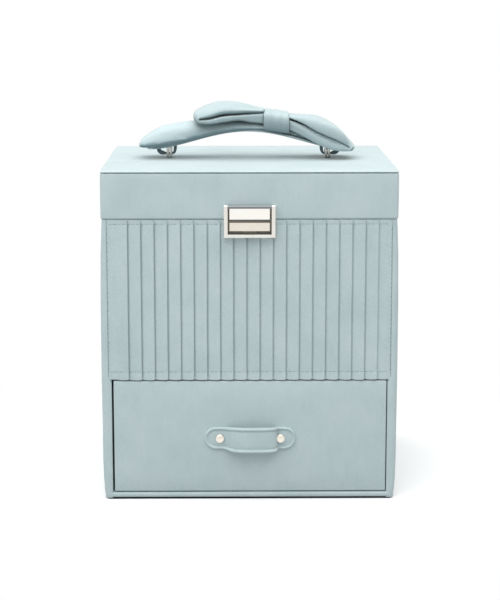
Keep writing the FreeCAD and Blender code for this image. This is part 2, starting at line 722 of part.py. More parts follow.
# Latch base on the pleats, the leaf spring, and the button with its stem, catch and clip
base_plate = box(
    "latch_base_plate", (f"-{PLATE}", PLATE), (BASE_FACE, CREST), (BUTTON_LOW, BUTTON_TOP),
)
base_prongs = [
    rod(
        f"{side}_base_prong", "y", "prong_radius",
        (mirrored(side, f"{PLATE} - prong_inset", "0")[side == "left"], BASE_FACE, STEM_LEVEL),
        f"{FRONT} - ({BASE_FACE}) + prong_length",
    )
    for side in ("left", "right")
]
keep(cut("latch_base", fuse("latch_base_blank", [base_plate, *base_prongs]), [stem_bore]))
NIB_LEVEL = f"({RAIL_TOP} + pass_gap + nib_radius)"
keep(fuse("latch_button", [
    box("button_plate", (f"-{PLATE}", PLATE), (BUTTON_FACE, BUTTON_BACK), (BUTTON_LOW, BUTTON_TOP)),
    box(
        "button_tongue", ("-nib_width / 2", "nib_width / 2"), (BUTTON_FACE, BUTTON_BACK),
        (NIB_LEVEL, f"{BUTTON_LOW} + nib_radius"),
    ),
    rod("button_nib", "x", "nib_radius", ("-nib_width / 2", BUTTON_FACE, NIB_LEVEL), "nib_width"),
    rod(
        "button_stem", "y", "stem_radius", ("0", BUTTON_BACK, STEM_LEVEL),
        f"{CLIP_SEAT} + clip_thick - ({BUTTON_BACK})",
    ),
]))
clip_disc = rod("clip_disc", "y", "clip_radius", ("0", CLIP_SEAT, STEM_LEVEL), "clip_thick")
clip_eye = rod(
    "clip_eye", "y", "stem_radius + running_fit", ("0", f"{CLIP_SEAT} - overrun", STEM_LEVEL),
    "clip_thick + 2 * overrun",
)
keep(cut("latch_clip", clip_disc, [clip_eye]))
spring_room = size("button_travel") + size("button_stop_gap") - size("spring_thick")
spring_half = size("spring_length") / 2
spring_back = -(size("case_depth") / 2 + size("pleat_backing") + size("pleat_height") + size("base_thick"))
spring_low = size("case_height") - size("button_drop") - size("button_height") / 2 - size("spring_width") / 2


def spring_arc(lift):
    """The arc of the bowed leaf, lifted forward of the base."""
    ends = [(-spring_half, 0), (0, spring_room), (spring_half, 0)]
    return Part.Arc(*(FreeCAD.Vector(x, spring_back - rise - lift, spring_low) for x, rise in ends)).toShape()


leaf_inner = spring_arc(0)
leaf_outer = spring_arc(size("spring_thick"))
leaf_ends = [
    Part.LineSegment(leaf_inner.Vertexes[place].Point, leaf_outer.Vertexes[place].Point).toShape()
    for place in (0, 1)
]
leaf_wire = Part.Wire(Part.__sortEdges__([leaf_inner, leaf_outer, *leaf_ends]))
leaf_shape = Part.Face(leaf_wire).extrude(FreeCAD.Vector(0, 0, size("spring_width")))
leaf_blank = doc.addObject("Part::Feature", "latch_spring_leaf")
leaf_blank.Shape = leaf_shape
keep(cut("latch_spring", leaf_blank, [stem_bore]))

# Drawer: a front board in a fabric cap, and a lined box behind it
DRAWER = "(case_width / 2 - wall_thick - drawer_side_gap)"
DRAWER_X = (f"drawer_shift - {DRAWER}", f"drawer_shift + {DRAWER}")
DRAWER_Z = (f"({BAY_FLOOR} + drawer_low_gap)", f"({DECK_LOW} - drawer_top_gap)")
DRAWER_FACE = f"({FACE} + drawer_set_back)"
DRAWER_INSIDE = f"({FACE} + drawer_set_back + drawer_cover + drawer_front_thick)"
PULL_LEVEL = f"({BAY_FLOOR} + pull_level)"
rivet_bores = []
washer_bores = []
rivets = []
washers = []
for side, sign in (("left", "-"), ("right", "")):
    place = f"drawer_shift {sign or '+'} rivet_spread / 2"
    rivet_bores.append(rod(
        f"{side}_rivet_bore", "y", "rivet_radius + rivet_fit",
        (place, f"{DRAWER_FACE} - pull_thick - overrun", PULL_LEVEL),
        "pull_thick + drawer_cover + drawer_front_thick + 2 * overrun",
    ))
    washer_bores.append(rod(
        f"{side}_washer_bore", "y", "washer_bore_radius",
        (place, f"{DRAWER_INSIDE} - washer_bore_depth", PULL_LEVEL), "washer_bore_depth + overrun",
    ))
    body = doc.addObject("PartDesign::Body", f"{side}_rivet")
    profile = outline(body, f"{side}_rivet_profile", "XZ_Plane", [
        ("0", "-(pull_thick + drawer_cover + drawer_front_thick - washer_bore_depth + washer_thick)"),
        ("rivet_radius",
         "-(pull_thick + drawer_cover + drawer_front_thick - washer_bore_depth + washer_thick)"),
        ("rivet_radius", "0"),
        ("rivet_head_radius", "0"),
        ("rivet_head_radius", "rivet_head_thick - rivet_crown"),
        ("rivet_head_radius - rivet_crown", "rivet_head_thick"),
        ("0", "rivet_head_thick"),
    ])
    revolve(body, profile)
    body.Placement = FreeCAD.Placement(FreeCAD.Vector(), FreeCAD.Rotation(FreeCAD.Vector(1, 0, 0), 90))
    body.setExpression("Placement.Base.x", expr(place))
    body.setExpression("Placement.Base.y", expr(f"{DRAWER_FACE} - pull_thick"))
    body.setExpression("Placement.Base.z", expr(PULL_LEVEL))
    rivets.append(body)
    disc = rod(
        f"{side}_washer_disc", "y", "washer_radius",
        (place, f"{DRAWER_INSIDE} - washer_bore_depth", PULL_LEVEL), "washer_thick",
    )
    eye = rod(
        f"{side}_washer_eye", "y", "rivet_radius + running_fit",
        (place, f"{DRAWER_INSIDE} - washer_bore_depth - overrun", PULL_LEVEL), "washer_thick + 2 * overrun",
    )
    washers.append(cut(f"{side}_washer", disc, [eye]))
drawer_front_blank = box(
    "drawer_front_blank",
    (f"{DRAWER_X[0]} + drawer_cover", f"{DRAWER_X[1]} - drawer_cover"),
    (f"{DRAWER_FACE} + drawer_cover", DRAWER_INSIDE),
    (f"{DRAWER_Z[0]} + drawer_cover", f"{DRAWER_Z[1]} - drawer_cover"),
)
keep(cut("drawer_front_board", drawer_front_blank, [*rivet_bores, *washer_bores]))
cap = doc.addObject("PartDesign::Body", "drawer_cap")
cap_slab = pad(cap, outline(cap, "drawer_cap_face", "XZ_Plane", [
    (DRAWER_X[0], DRAWER_Z[0]),
    (DRAWER_X[1], DRAWER_Z[0]),
    (DRAWER_X[1], DRAWER_Z[1]),
    (DRAWER_X[0], DRAWER_Z[1]),
], f"-{DRAWER_INSIDE}"), "drawer_cover + drawer_front_thick")
cap_face = -(size("case_depth") / 2 + size("wrap_thick") - size("drawer_set_back"))
cap_round = dress(
    cap, cap_slab, "Fillet", "Radius", "drawer_round",
    lambda edge: along(edge, 1) or abs(edge.BoundBox.YMax - cap_face) < size("drawer_round") / 10,
)
keep(cut("drawer_front_cover", cap, [drawer_front_blank, *rivet_bores]))
BOX_Z = (f"({BAY_FLOOR} + runner_gap)", f"({DECK_LOW} - drawer_side_drop)")
BOX_BACK = f"({BACK} - wall_thick - drawer_back_gap)"
for side in ("left", "right"):
    edge = DRAWER_X[side == "right"]
    inward = "+" if side == "left" else "-"
    span = (edge, f"{edge} {inward} drawer_wall")
    keep(box(
        f"drawer_{side}_side", span if side == "left" else span[::-1], (DRAWER_INSIDE, BOX_BACK), BOX_Z,
    ))
BOX_X = (f"({DRAWER_X[0]} + drawer_wall)", f"({DRAWER_X[1]} - drawer_wall)")
keep(box("drawer_back", BOX_X, (f"{BOX_BACK} - drawer_wall", BOX_BACK), BOX_Z))
keep(box(
    "drawer_bottom", BOX_X, (DRAWER_INSIDE, f"{BOX_BACK} - drawer_wall"),
    (BOX_Z[0], f"{BOX_Z[0]} + drawer_base"),
))
drawer_lining_out = box(
    "drawer_lining_out", BOX_X, (DRAWER_INSIDE, f"{BOX_BACK} - drawer_wall"),
    (f"{BOX_Z[0]} + drawer_base", f"{BOX_Z[1]} - lining_drop"),
)
drawer_lining_in = box(
    "drawer_lining_in", (f"{BOX_X[0]} + lining_thick", f"{BOX_X[1]} - lining_thick"),
    (f"{DRAWER_INSIDE} + lining_thick", f"{BOX_BACK} - drawer_wall - lining_thick"),
    (f"{BOX_Z[0]} + drawer_base + lining_thick", f"{BOX_Z[1]} + overrun"),
)
keep(cut("drawer_lining", drawer_lining_out, [drawer_lining_in]))

# Drawer pull: a stitched strap bowed out between two rivets
pull = doc.addObject("PartDesign::Body", "pull_strap")
PULL_FACE = f"({DRAWER_FACE} - pull_thick)"
RISE_BACK = f"({DRAWER_FACE} - pull_rise)"
RISE_FACE = f"({DRAWER_FACE} - pull_rise - pull_thick)"
PULL_FOOT = "(rivet_spread / 2 - rivet_head_radius - pull_foot_gap)"
PULL_CROWN = f"({PULL_FOOT} - pull_ramp)"
pull_pad = pad(pull, outline(pull, "pull_plan", "XY_Plane", [
    ("drawer_shift - pull_length / 2", DRAWER_FACE),
    ("drawer_shift - pull_length / 2", PULL_FACE),
    (f"drawer_shift - {PULL_FOOT}", PULL_FACE),
    (f"drawer_shift - {PULL_CROWN}", RISE_FACE),
    (f"drawer_shift + {PULL_CROWN}", RISE_FACE),
    (f"drawer_shift + {PULL_FOOT}", PULL_FACE),
    ("drawer_shift + pull_length / 2", PULL_FACE),
    ("drawer_shift + pull_length / 2", DRAWER_FACE),
    (f"drawer_shift + {PULL_FOOT} - pull_thick / 2", DRAWER_FACE),
    (f"drawer_shift + {PULL_CROWN} - pull_thick / 2", RISE_BACK),
    (f"drawer_shift - {PULL_CROWN} + pull_thick / 2", RISE_BACK),
    (f"drawer_shift - {PULL_FOOT} + pull_thick / 2", DRAWER_FACE),
], f"{PULL_LEVEL} - pull_height / 2"), "pull_height")
pull_reach = size("pull_length") / 2
dress(
    pull, pull_pad, "Fillet", "Radius", "pull_end_round",
    lambda edge: along(edge, 1)
    and abs(abs(edge.BoundBox.XMin - size("drawer_shift")) - pull_reach) < size("pull_thick") / 10,
)
keep(cut("drawer_pull", pull, rivet_bores))
keep(group("drawer_pull_rivets", rivets))
keep(group("drawer_pull_washers", washers))

# Handle posts: upright loops on studs through the lid, held by a flat nut sunk in the top board
LOOP_IN = "(tab_width / 2 + tab_fit)"
LOOP_OUT = "(tab_width / 2 + tab_fit + post_leg_thick)"
nuts = []
for side, sign in (("left", "-"), ("right", "")):
    place = f"{sign}post_spread / 2"
    wide = (f"{place} - post_width / 2", f"{place} + post_width / 2")
    top = f"{LID_TOP} + post_height"
    root = f"{LID_CEILING} + nut_bore_depth - nut_thick"
    keep(fuse(f"{side}_handle_post", [
        rod(f"{side}_post_stud", "z", "stud_radius", (place, "0", root), f"{LID_TOP} + post_base_thick - ({root})"),
        box(f"{side}_post_base", wide, (f"-{LOOP_OUT}", LOOP_OUT), (LID_TOP, f"{LID_TOP} + post_base_thick")),
        box(f"{side}_post_front_leg", wide, (f"-{LOOP_OUT}", f"-{LOOP_IN}"), (LID_TOP, top)),
        box(f"{side}_post_rear_leg", wide, (LOOP_IN, LOOP_OUT), (LID_TOP, top)),
        box(f"{side}_post_bar", wide, (f"-{LOOP_OUT}", LOOP_OUT), (f"{top} - post_head_thick", top)),
    ]))
    seat = f"{LID_CEILING} + nut_bore_depth - nut_thick"
    disc = rod(f"{side}_nut_disc", "z", "nut_radius", (place, "0", seat), "nut_thick")
    eye = rod(
        f"{side}_nut_eye", "z", "stud_radius + running_fit", (place, "0", f"{seat} - overrun"),
        "nut_thick + 2 * overrun",
    )
    nuts.append(cut(f"{side}_nut", disc, [eye]))
keep(group("handle_post_nuts", nuts))

# Handle strap: a backing and a padded upper, arched between the posts and lofted station by station
lid_top = size("case_height") + size("parting_gap") + size("lid_height")


def arch(x):
    """How high the arch stands at a distance from the middle, as a share of its rise."""
    return (1 + math.cos(math.pi * x / size("arch_half"))) / 2


def strap_under(x):
    """The level of the strap's underside."""
    lift = size("arch_rise") * (arch(x) - arch(size("post_spread") / 2 + size("post_width") / 2))
    return lid_top + size("post_height") + size("seat_gap") + lift


# Stations from the left end to the right: shares of the strap's reach, width, edge and crown
STRAP_SHARES = (
    (-1.00, 0.66, 0.50, 0.03),
    (-0.97, 0.84, 0.80, 0.16),
    (-0.90, 0.96, 1.00, 0.52),
    (-0.82, 1.00, 1.00, 0.86),
    (-0.70, 1.00, 1.00, 1.00),
    (-0.54, 1.00, 1.00, 0.84),
    (-0.34, 0.98, 0.92, 0.50),
    (-0.12, 0.94, 0.82, 0.22),
    (0.15, 0.92, 0.78, 0.10),
    (0.42, 0.94, 0.80, 0.12),
    (0.66, 0.98, 0.90, 0.22),
    (0.86, 1.00, 1.00, 0.24),
    (0.96, 0.88, 0.85, 0.14),
    (1.00, 0.70, 0.50, 0.03),
)


def strap_stations():
    """Each station's place, half width, edge and crown."""
    for place, wide, edge, crown in STRAP_SHARES:
        x = place * (size("strap_left") if place < 0 else size("strap_right"))
        yield x, wide * size("strap_width") / 2, edge * size("strap_edge"), crown * size("strap_crown")


def strap_top(x):
    """The level of the padded upper's crown, between stations."""
    known = [(at, edge + crown) for at, _, edge, crown in strap_stations()]
    for (before, low), (after, high) in zip(known, known[1:]):
        if x <= after:
            part = max(0, (x - before) / (after - before))
            height = low + (high - low) * part
            break
    else:
        height = known[-1][1]
    return strap_under(x) + size("strap_backing") + size("layer_gap") + height


def section(x, half, low, edge, crown):
    """A flat-bottomed section with straight edges and an arched top."""
    corners = [FreeCAD.Vector(x, y, z) for y, z in (
        (-half, low + edge), (-half, low), (half, low), (half, low + edge),
    )]
    lines = [Part.LineSegment(a, b).toShape() for a, b in zip(corners, corners[1:])]
    top = FreeCAD.Vector(x, 0, low + edge + crown)
    if crown > 0:
        roof = Part.Arc(corners[3], top, corners[0]).toShape()
    else:
        roof = Part.LineSegment(corners[3], corners[0]).toShape()
    return Part.Wire([*lines, roof])


def soft(name, sections):
    """A lofted solid through its sections."""
    feature = doc.addObject("Part::Feature", name)
    feature.Shape = Part.makeLoft(sections, True, False)
    return keep(feature)


backing_sections = []
upper_sections = []
for x, half, edge, crown in strap_stations():
    backing_sections.append(section(x, half, strap_under(x), size("strap_backing"), 0))
    low = strap_under(x) + size("strap_backing") + size("layer_gap")
    upper_sections.append(section(x, half, low, edge, crown))
soft("handle_backing", backing_sections)
soft("handle_pad", upper_sections)

# Handle tabs: narrow loops under the strap, threaded through the posts
for side, sign in (("left", -1), ("right", 1)):
    post = size("post_spread") / 2
    low = lid_top + size("tab_low")
    thick = size("tab_thick")
    away = {
        "inner": post - size("tab_in"),
        "inner_face": post - size("tab_in") + thick,
        "outer_face": post + size("tab_out") - thick,
        "outer": post + size("tab_out"),
    }
    under = {name: strap_under(place) - size("layer_gap") for name, place in away.items()}
    corners = [
        (away["inner"], under["inner"]),
        (away["inner"], low),
        (away["outer"], low),
        (away["outer"], under["outer"]),
        (away["outer_face"], under["outer_face"]),
        (away["outer_face"], low + thick),
        (away["inner_face"], low + thick),
        (away["inner_face"], under["inner_face"]),
    ]
    rim = [FreeCAD.Vector(sign * x, -size("tab_width") / 2, z) for x, z in corners]
    strip = Part.Face(Part.makePolygon([*rim, rim[0]])).extrude(FreeCAD.Vector(0, size("tab_width"), 0))
    tab = doc.addObject("Part::Feature", f"{side}_handle_tab")
    tab.Shape = strip
    keep(tab)

# Bow: a knot on the strap with a stuffed loop either side
knot_low = max(strap_top(size(name)) for name in ("knot_left", "knot_right")) + size("bow_clear")
knot = doc.addObject("Part::Box", "bow_knot_block")
knot.setExpression("Length", expr("knot_right - knot_left"))
knot.setExpression("Width", expr("knot_depth"))
knot.setExpression("Height", expr("knot_height"))
knot.setExpression("Placement.Base.x", expr("knot_left"))
knot.setExpression("Placement.Base.y", expr("-knot_depth / 2"))
knot.Placement.Base.z = knot_low
doc.recompute()
rounded = doc.addObject("Part::Fillet", "bow_knot")
rounded.Base = knot
rounded.Edges = [
    (place, size("knot_round"), size("knot_round"))
    for place, edge in enumerate(knot.Shape.Edges, 1)
    if along(edge, 0)
]
keep(rounded)

# Loop stations out from the knot: shares of the loop's reach, ribbon width and height
LEFT_LOOP_SHARES = (
    (0.00, 0.48, 0.66),
    (0.25, 0.78, 0.96),
    (0.58, 1.00, 1.00),
    (0.88, 0.98, 0.94),
    (1.00, 0.86, 0.80),
)
RIGHT_LOOP_SHARES = (
    (0.00, 0.48, 0.66),
    (0.22, 0.80, 0.92),
    (0.50, 1.00, 1.00),
    (0.78, 0.98, 0.76),
    (0.95, 0.86, 0.36),
    (1.00, 0.74, 0.18),
)
LOOP_SIDE_SHARE = 0.7
for name, start, way, reach, shares in (
    ("bow_left_loop", "knot_left", -1, "bow_left_reach", LEFT_LOOP_SHARES),
    ("bow_right_loop", "knot_right", 1, "bow_right_reach", RIGHT_LOOP_SHARES),
):
    rings = []
    for place, wide, tall in shares:
        x = size(start) + way * place * size(reach)
        half = wide * size("ribbon_width") / 2
        low = strap_top(x) + size("bow_clear")
        height = tall * size("loop_height")
        rings.append(section(x, half, low, height * LOOP_SIDE_SHARE, height * (1 - LOOP_SIDE_SHARE)))
    soft(name, rings)

# Write each sub-part, once every object is sound
doc.recompute()
for thing in doc.Objects:
    if any(state in ("Invalid", "Error") for state in thing.State):
        raise SystemExit(f"{thing.Label} did not build: {thing.State}")
os.makedirs("parts", exist_ok=True)
for old in os.listdir("parts"):
    os.remove(os.path.join("parts", old))
for subpart in subparts:
    shape = subpart.Shape
    if shape.isNull() or not shape.isValid() or not shape.Solids:
        raise SystemExit(f"{subpart.Label} has no sound solid")
    shape.exportStep(f"parts/{subpart.Label}.step")
print(len(subparts), "sub-parts written")
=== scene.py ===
import math

import bmesh
import bpy
from mathutils import Matrix, Vector, noise


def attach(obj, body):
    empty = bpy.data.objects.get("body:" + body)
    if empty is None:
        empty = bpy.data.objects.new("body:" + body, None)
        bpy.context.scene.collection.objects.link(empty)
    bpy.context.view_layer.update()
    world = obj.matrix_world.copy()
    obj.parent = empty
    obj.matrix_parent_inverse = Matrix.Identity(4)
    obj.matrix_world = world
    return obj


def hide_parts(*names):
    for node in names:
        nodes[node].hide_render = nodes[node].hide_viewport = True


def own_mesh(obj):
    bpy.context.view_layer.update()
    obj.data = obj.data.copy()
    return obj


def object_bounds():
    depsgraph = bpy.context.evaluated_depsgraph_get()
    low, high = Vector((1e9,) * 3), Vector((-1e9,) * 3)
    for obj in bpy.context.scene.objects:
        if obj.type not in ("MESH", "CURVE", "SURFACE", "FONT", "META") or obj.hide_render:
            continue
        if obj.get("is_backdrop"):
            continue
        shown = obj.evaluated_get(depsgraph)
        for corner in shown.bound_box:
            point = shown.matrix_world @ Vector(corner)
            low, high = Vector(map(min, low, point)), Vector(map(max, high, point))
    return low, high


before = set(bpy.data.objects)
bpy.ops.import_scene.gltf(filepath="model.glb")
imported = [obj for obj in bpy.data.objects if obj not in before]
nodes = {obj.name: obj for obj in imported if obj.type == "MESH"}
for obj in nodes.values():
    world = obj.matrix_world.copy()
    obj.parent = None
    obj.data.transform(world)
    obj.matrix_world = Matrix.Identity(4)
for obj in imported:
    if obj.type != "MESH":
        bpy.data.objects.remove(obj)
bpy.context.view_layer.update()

# Case boards: greyboard 4 to 5.5 mm thick, faced with a pale laid paper and glued edge to edge.
# The bottom, two sides, back, front and the deck over the drawer; little of them shows once covered.
MM = 0.001


def linear(code):
    """A hex colour as the linear colour that a shader socket takes."""
    parts = [int(code[at:at + 2], 16) / 255 for at in (1, 3, 5)]
    return [part / 12.92 if part <= 0.04045 else ((part + 0.055) / 1.055) ** 2.4 for part in parts] + [1]


def surface(name, **sockets):
    """A new node material, and its shader with the values that are the same all over."""
    material = bpy.data.materials.new(name)
    material.use_nodes = True
    shader = material.node_tree.nodes["Principled BSDF"]
    for socket, value in sockets.items():
        shader.inputs[socket.replace("_", " ")].default_value = value
    return material, shader


def node(material, kind, sockets, **settings):
    """A node with its settings and its inputs, each a value or the output that feeds it."""
    made = material.node_tree.nodes.new("ShaderNode" + kind)
    for name, value in settings.items():
        setattr(made, name, value)
    for name, value in sockets.items():
        if isinstance(value, bpy.types.NodeSocket):
            material.node_tree.links.new(value, made.inputs[name])
        else:
            made.inputs[name].default_value = value
    return made


def join(material, output, shader, socket):
    """Links an output to one of the shader's sockets."""
    material.node_tree.links.new(output, shader.inputs[socket])


def dress(names, material, eased):
    """Gives CAD nodes a finish, and eases their edges by a width in millimetres."""
    for name in names:
        piece = nodes[name]
        if not piece.material_slots:
            piece.data.materials.append(material)
        for place in piece.material_slots:
            place.material = material
        weld = piece.modifiers.new("weld", "WELD")
        weld.merge_threshold = 0.001 * MM
        ease = piece.modifiers.new("ease", "BEVEL")
        ease.width = eased * MM
        ease.segments = 2
        ease.limit_method = "ANGLE"
        ease.angle_limit = math.radians(35)


# Laid paper over greyboard: matt, with fine ribs and the odd darker fleck of pulp.
PULP_FLECK = 1.6
PAPER_RIB = 1.1
paper, paper_shader = surface("laid_paper_on_greyboard", Roughness=0.82, Specular_IOR_Level=0.3)
paper_at = node(paper, "TexCoord", {}).outputs["Object"]
flecks = node(paper, "TexNoise", {"Vector": paper_at, "Scale": 1 / (PULP_FLECK * MM), "Detail": 4.0})
paper_tone = node(
    paper, "Mix", {0: flecks.outputs["Fac"], 6: linear("#98a9ad"), 7: linear("#b9c7c9")}, data_type="RGBA",
)
join(paper, paper_tone.outputs[2], paper_shader, "Base Color")
ribs = node(paper, "TexWave", {"Vector": paper_at, "Scale": 1 / (PAPER_RIB * MM) / 20, "Distortion": 0.6})
paper_bump = node(paper, "Bump", {"Height": ribs.outputs["Fac"], "Strength": 0.12, "Distance": 0.1 * MM})
join(paper, paper_bump.outputs["Normal"], paper_shader, "Normal")
dress(
    ["bottom_board", "left_side_board", "right_side_board", "back_board", "front_board", "deck_board"],
    paper, 0.3,
)

# Base pad: one sheet of black needle felt glued under the bottom, just in from the edges.
# Its fibres are tangled and rough, so it shows as a soft dark line under the case.
FELT_THICK = 1.2
FELT_REACH = (108.2, 96.7)
FELT_CORNER = 4.0
FELT_FIBRE = 0.8


def block(name, low, high):
    """A cube primitive drawn out between two corners, in millimetres, as the start of a piece."""
    bpy.ops.object.select_all(action="DESELECT")
    bpy.ops.mesh.primitive_cube_add(
        size=1, location=[(a + b) / 2 * MM for a, b in zip(low, high)],
        scale=[(b - a) * MM for a, b in zip(low, high)],
    )
    piece = bpy.context.object
    piece.name = piece.data.name = name
    bpy.ops.object.transform_apply(location=True, rotation=True, scale=True)
    return piece


def pick(piece, kind, test):
    """Goes into edit mode and selects what passes a test on its middle, in millimetres, and its normal."""
    bpy.context.view_layer.objects.active = piece
    bpy.ops.object.mode_set(mode="EDIT")
    bpy.ops.mesh.select_mode(type=kind)
    bpy.ops.mesh.select_all(action="DESELECT")
    shape = bmesh.from_edit_mesh(piece.data)
    for part in {"VERT": shape.verts, "EDGE": shape.edges, "FACE": shape.faces}[kind]:
        points = [part.co] if kind == "VERT" else [corner.co for corner in part.verts]
        middle = sum(points, Vector()) / len(points) / MM
        way = part.normal if kind != "EDGE" else (points[1] - points[0]).normalized()
        part.select_set(bool(test(middle, way)))
    shape.select_flush_mode()
    bmesh.update_edit_mesh(piece.data)


def work(piece, kind, **settings):
    """Adds a modifier with its settings and applies it."""
    step = piece.modifiers.new(kind.lower(), kind)
    for name, value in settings.items():
        setattr(step, name, value)
    bpy.context.view_layer.objects.active = piece
    bpy.ops.object.modifier_apply(modifier=step.name)


def outward(piece):
    """Merges doubled points and turns the faces outward."""
    bpy.context.view_layer.objects.active = piece
    bpy.ops.object.mode_set(mode="EDIT")
    bpy.ops.mesh.select_all(action="SELECT")
    bpy.ops.mesh.remove_doubles(threshold=0.002 * MM)
    bpy.ops.mesh.normals_make_consistent(inside=False)
    bpy.ops.object.mode_set(mode="OBJECT")


def smooth(piece, material, turn=40):
    """Shades a finished mesh smooth, up to a turn in degrees, and gives it its finish."""
    bpy.ops.object.select_all(action="DESELECT")
    piece.select_set(True)
    bpy.context.view_layer.objects.active = piece
    bpy.ops.object.shade_smooth_by_angle(angle=math.radians(turn))
    piece.data.materials.clear()
    piece.data.materials.append(material)


felt, felt_shader = surface("black_needle_felt", Roughness=0.95, Specular_IOR_Level=0.15, Sheen_Weight=0.15)
felt_at = node(felt, "TexCoord", {}).outputs["Object"]
fibres = node(felt, "TexNoise", {"Vector": felt_at, "Scale": 1 / (FELT_FIBRE * MM), "Detail": 6.0, "Roughness": 0.7})
felt_tone = node(
    felt, "Mix", {0: fibres.outputs["Fac"], 6: linear("#0b0b0d"), 7: linear("#2c2d31")}, data_type="RGBA",
)
join(felt, felt_tone.outputs[2], felt_shader, "Base Color")
felt_bump = node(felt, "Bump", {"Height": fibres.outputs["Fac"], "Strength": 0.5, "Distance": 0.3 * MM})
join(felt, felt_bump.outputs["Normal"], felt_shader, "Normal")
base_pad = block(
    "felt_base_pad", (-FELT_REACH[0], -FELT_REACH[1], 0), (FELT_REACH[0], FELT_REACH[1], FELT_THICK),
)
pick(base_pad, "EDGE", lambda middle, way: abs(way.z) > 0.9)
bpy.ops.mesh.bevel(offset=FELT_CORNER * MM, segments=5)
bpy.ops.object.mode_set(mode="OBJECT")
work(base_pad, "BEVEL", width=0.35 * MM, segments=2, limit_method="ANGLE", angle_limit=math.radians(50))
smooth(base_pad, felt)
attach(base_pad, "case")
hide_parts("base_felt")

# Side covers: short-pile velvet over a thin wadding, so the sides belly out a millimetre or so.
# Each turns the front corner and ends on the side's front edge, beside the drawer and the pleats.
COVER_THICK = 1.0
COVER_REACH = (
    (1.2, 108.5), (3.0, 109.2), (8.0, 110.0), (17.0, 110.7), (36.0, 111.2), (92.0, 111.4),
    (150.0, 111.3), (185.0, 110.7), (204.0, 109.8), (213.4, 109.2),
)
COVER_FRONT = -97.5
COVER_REAR = 97.5
COVER_CORNER = 2.6
COVER_STEP = 13.5
COVER_SEAT = 108.9
COVER_LAP = ((0.45, 0.0), (0.12, 0.12), (0.0, 0.7))
BAY_EDGE = 103.5
PANEL_EDGE = 105.75
BAY_TOP = 90.0
BAY_TURN = 5.0
NAP_PATCH = 26.0
NAP_STREAK = 5.0
PILE_GRAIN = 0.75


def velvet(name, deep, pale, sheen, painted_shade_tone=None):
    """Short-pile polyester velvet, brushed by hand: soft patches where the pile lies another way,
    faint upright streaks, and a fine pile that lightens where it is seen along the surface.
    The pile is finer than a pixel, so its grain is drawn about three times too coarse to show.
    A stuffed or folded piece can be given a dark tone too, mixed in by a point attribute:
    it is painted shade, on what faces down and in the folds and slits."""
    material, shader = surface(
        name, Roughness=0.88, Specular_IOR_Level=0.2, Sheen_Weight=sheen, Sheen_Roughness=0.36,
        Sheen_Tint=linear("#fbfbf8"),
    )
    at = node(material, "TexCoord", {}).outputs["Object"]
    patch = node(material, "TexNoise", {"Vector": at, "Scale": 1 / (NAP_PATCH * MM), "Detail": 3.0, "Roughness": 0.6})
    drawn = node(material, "Mapping", {"Vector": at, "Scale": (1.0, 1.0, 0.3)})
    streak = node(
        material, "TexNoise",
        {"Vector": drawn.outputs["Vector"], "Scale": 1 / (NAP_STREAK * MM), "Detail": 4.0, "Roughness": 0.65},
    )
    pile = node(material, "TexNoise", {"Vector": at, "Scale": 1 / (PILE_GRAIN * MM), "Detail": 3.0, "Roughness": 0.6})
    broad = node(material, "Mix", {0: 0.3, 2: patch.outputs["Fac"], 3: streak.outputs["Fac"]})
    mixed = node(material, "Mix", {0: 0.55, 2: broad.outputs[0], 3: pile.outputs["Fac"]})
    spread = node(material, "MapRange", {"Value": mixed.outputs[0], "From Min": 0.33, "From Max": 0.67})
    tone = node(
        material, "Mix", {0: spread.outputs["Result"], 6: linear(deep), 7: linear(pale)}, data_type="RGBA",
    )
    if painted_shade_tone:
        painted_shade = node(material, "Attribute", {}, attribute_name="painted_shade")
        tone = node(
            material, "Mix", {0: painted_shade.outputs["Fac"], 6: tone.outputs[2], 7: linear(painted_shade_tone)}, data_type="RGBA",
        )
    join(material, tone.outputs[2], shader, "Base Color")
    bump = node(material, "Bump", {"Height": pile.outputs["Fac"], "Strength": 0.28, "Distance": 0.12 * MM})
    join(material, bump.outputs["Normal"], shader, "Normal")
    return material


def sheet(name, across, along, place):
    """A grid primitive whose points are pulled into place, in millimetres, by their shares of its two ways."""
    bpy.ops.object.select_all(action="DESELECT")
    bpy.ops.mesh.primitive_grid_add(x_subdivisions=across, y_subdivisions=along, size=1)
    piece = bpy.context.object
    piece.name = piece.data.name = name
    for point in piece.data.vertices:
        point.co = Vector(place(point.co.x + 0.5, point.co.y + 0.5)) * MM
    return piece


def turn_over(piece):
    """Turns a sheet's faces to its other side."""
    bpy.context.view_layer.objects.active = piece
    bpy.ops.object.mode_set(mode="EDIT")
    bpy.ops.mesh.select_all(action="SELECT")
    bpy.ops.mesh.flip_normals()
    bpy.ops.object.mode_set(mode="OBJECT")


def between(table, at):
    """A smooth reading between a table's points."""
    if at <= table[0][0]:
        return table[0][1]
    for (low, first), (high, last) in zip(table, table[1:]):
        if at <= high:
            share = (at - low) / (high - low)
            return first + (last - first) * share * share * (3 - 2 * share)
    return table[-1][1]


def curl(middle, radius, start, end, count):
    """Points round an arc, its angles in degrees."""
    turns = [math.radians(start + (end - start) * step / count) for step in range(count + 1)]
    return [(middle[0] + radius * math.cos(turn), middle[1] + radius * math.sin(turn)) for turn in turns]


